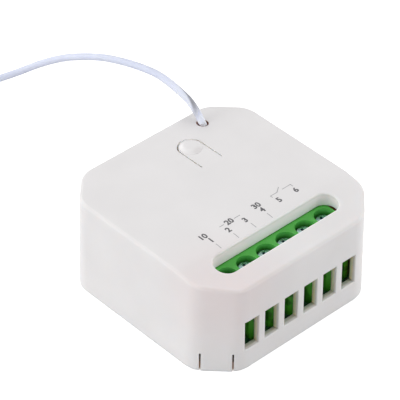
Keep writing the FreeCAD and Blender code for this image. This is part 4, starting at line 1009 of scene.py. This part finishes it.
class RECEIVER_OT_stage(bpy.types.Operator):
    """Add the pale floor, the room light and the lamps."""

    bl_idname = "receiver.stage"
    bl_label = "Stage"

    def execute(self, context):
        stage = settings("stage")
        self.add_floor(context, stage)
        self.add_room(context, stage)
        for name, place, side in LAMPS:
            self.add_lamp(context, f"{name}_lamp", place, side, getattr(stage, name))
        context.scene.view_settings.view_transform = "Standard"
        return {"FINISHED"}

    def seen(self, tree):
        """1 for what the camera sees, straight, mirrored or through glass, and 0 otherwise."""
        path = tree.nodes.new("ShaderNodeLightPath")
        mirrored = add_math(
            tree, "MAXIMUM", path.outputs["Is Camera Ray"], path.outputs["Is Glossy Ray"],
        )
        return add_math(tree, "MAXIMUM", mirrored, path.outputs["Is Transmission Ray"])

    def add_floor(self, context, stage):
        """White floor that keeps the shadow, with painted brown shade that glows dimly below the
        object.
        """
        flat = bmesh.new()
        bmesh.ops.create_grid(flat, x_segments=2, y_segments=2, size=stage.floor_side / 2)
        floor = bpy.data.objects.new("floor", new_mesh("floor", flat))
        floor.location.z = -FLOOR_DROP
        context.scene.collection.objects.link(floor)
        material, tree, shader = new_material("pale_floor")
        feed(tree, shader.inputs["Base Color"], FLOOR_COLOUR)
        feed(tree, shader.inputs["Roughness"], FLOOR_ROUGHNESS)
        farther, together = add_reach(tree)
        beside = add_fade(tree, farther, FLOOR_SIDE_SPAN)
        past_corner = add_fade(tree, together, FLOOR_CORNER_SPAN)
        open_floor = add_math(tree, "MAXIMUM", beside, past_corner)
        # Glow: white for the camera beside the object, painted brown shade below it
        glow = add_mix(tree, open_floor, SHADED_FLOOR, WHITE)
        feed(tree, shader.inputs["Emission Color"], glow)
        strength = add_product(tree, self.seen(tree), stage.glow)
        feed(tree, shader.inputs["Emission Strength"], strength)
        floor.data.materials.append(material)

    def add_room(self, context, stage):
        """Soft light from all round, with a white backdrop for what the camera sees."""
        world = bpy.data.worlds.new("room")
        world.use_nodes = True
        tree = world.node_tree
        light = tree.nodes["Background"]
        backdrop = tree.nodes.new("ShaderNodeBackground")
        for part, strength in ((light, stage.world), (backdrop, 1.0)):
            feed(tree, part.inputs["Color"], WHITE)
            feed(tree, part.inputs["Strength"], strength)
        mix = tree.nodes.new("ShaderNodeMixShader")
        feed(tree, mix.inputs["Fac"], self.seen(tree))
        feed(tree, mix.inputs[1], light.outputs["Background"])
        feed(tree, mix.inputs[2], backdrop.outputs["Background"])
        feed(tree, tree.nodes["World Output"].inputs["Surface"], mix.outputs["Shader"])
        context.scene.world = world

    def add_lamp(self, context, name, place, side, power):
        """Square soft lamp that faces the object."""
        lamp = bpy.data.lights.new(name, "AREA")
        lamp.shape = "SQUARE"
        lamp.size = side
        lamp.energy = power
        holder = bpy.data.objects.new(name, lamp)
        holder.location = place
        holder.rotation_mode = "QUATERNION"
        holder.rotation_quaternion = (-Vector(place)).to_track_quat("-Z", "Y")
        context.scene.collection.objects.link(holder)


class RECEIVER_PT_panel(bpy.types.Panel):
    """Lists the settings and the steps."""

    bl_idname = "RECEIVER_PT_panel"
    bl_label = "Receiver module"
    bl_space_type = "VIEW_3D"
    bl_region_type = "UI"
    bl_category = "Receiver"

    def draw(self, context):
        for name in GROUPS:
            group = settings(name)
            box = self.layout.box()
            box.label(text=name.capitalize())
            for entry in group.bl_rna.properties.keys():
                if entry not in ("rna_type", "name"):
                    box.prop(group, entry)
        for step in STEPS:
            self.layout.operator(f"receiver.{step}")


GROUPS = {
    "view": ReceiverView,
    "colours": ReceiverColours,
    "wire": ReceiverWire,
    "print": ReceiverPrint,
    "stage": ReceiverStage,
}
STEPS = ("camera", "antenna", "housing", "terminals", "print", "insides", "stage")
CLASSES = (
    *GROUPS.values(),
    RECEIVER_OT_camera,
    RECEIVER_OT_antenna,
    RECEIVER_OT_housing,
    RECEIVER_OT_terminals,
    RECEIVER_OT_print,
    RECEIVER_OT_insides,
    RECEIVER_OT_stage,
    RECEIVER_PT_panel,
)


def register():
    """Add the classes and the settings."""
    for entry in CLASSES:
        bpy.utils.register_class(entry)
    for name, group in GROUPS.items():
        setattr(bpy.types.Scene, f"receiver_{name}", PointerProperty(type=group))


def unregister():
    """Take the settings and the classes away."""
    for name in GROUPS:
        delattr(bpy.types.Scene, f"receiver_{name}")
    for entry in reversed(CLASSES):
        bpy.utils.unregister_class(entry)


def main():
    """Make everything."""
    register()
    for step in STEPS:
        getattr(bpy.ops.receiver, step)()


if __name__ == "__main__":
    main()
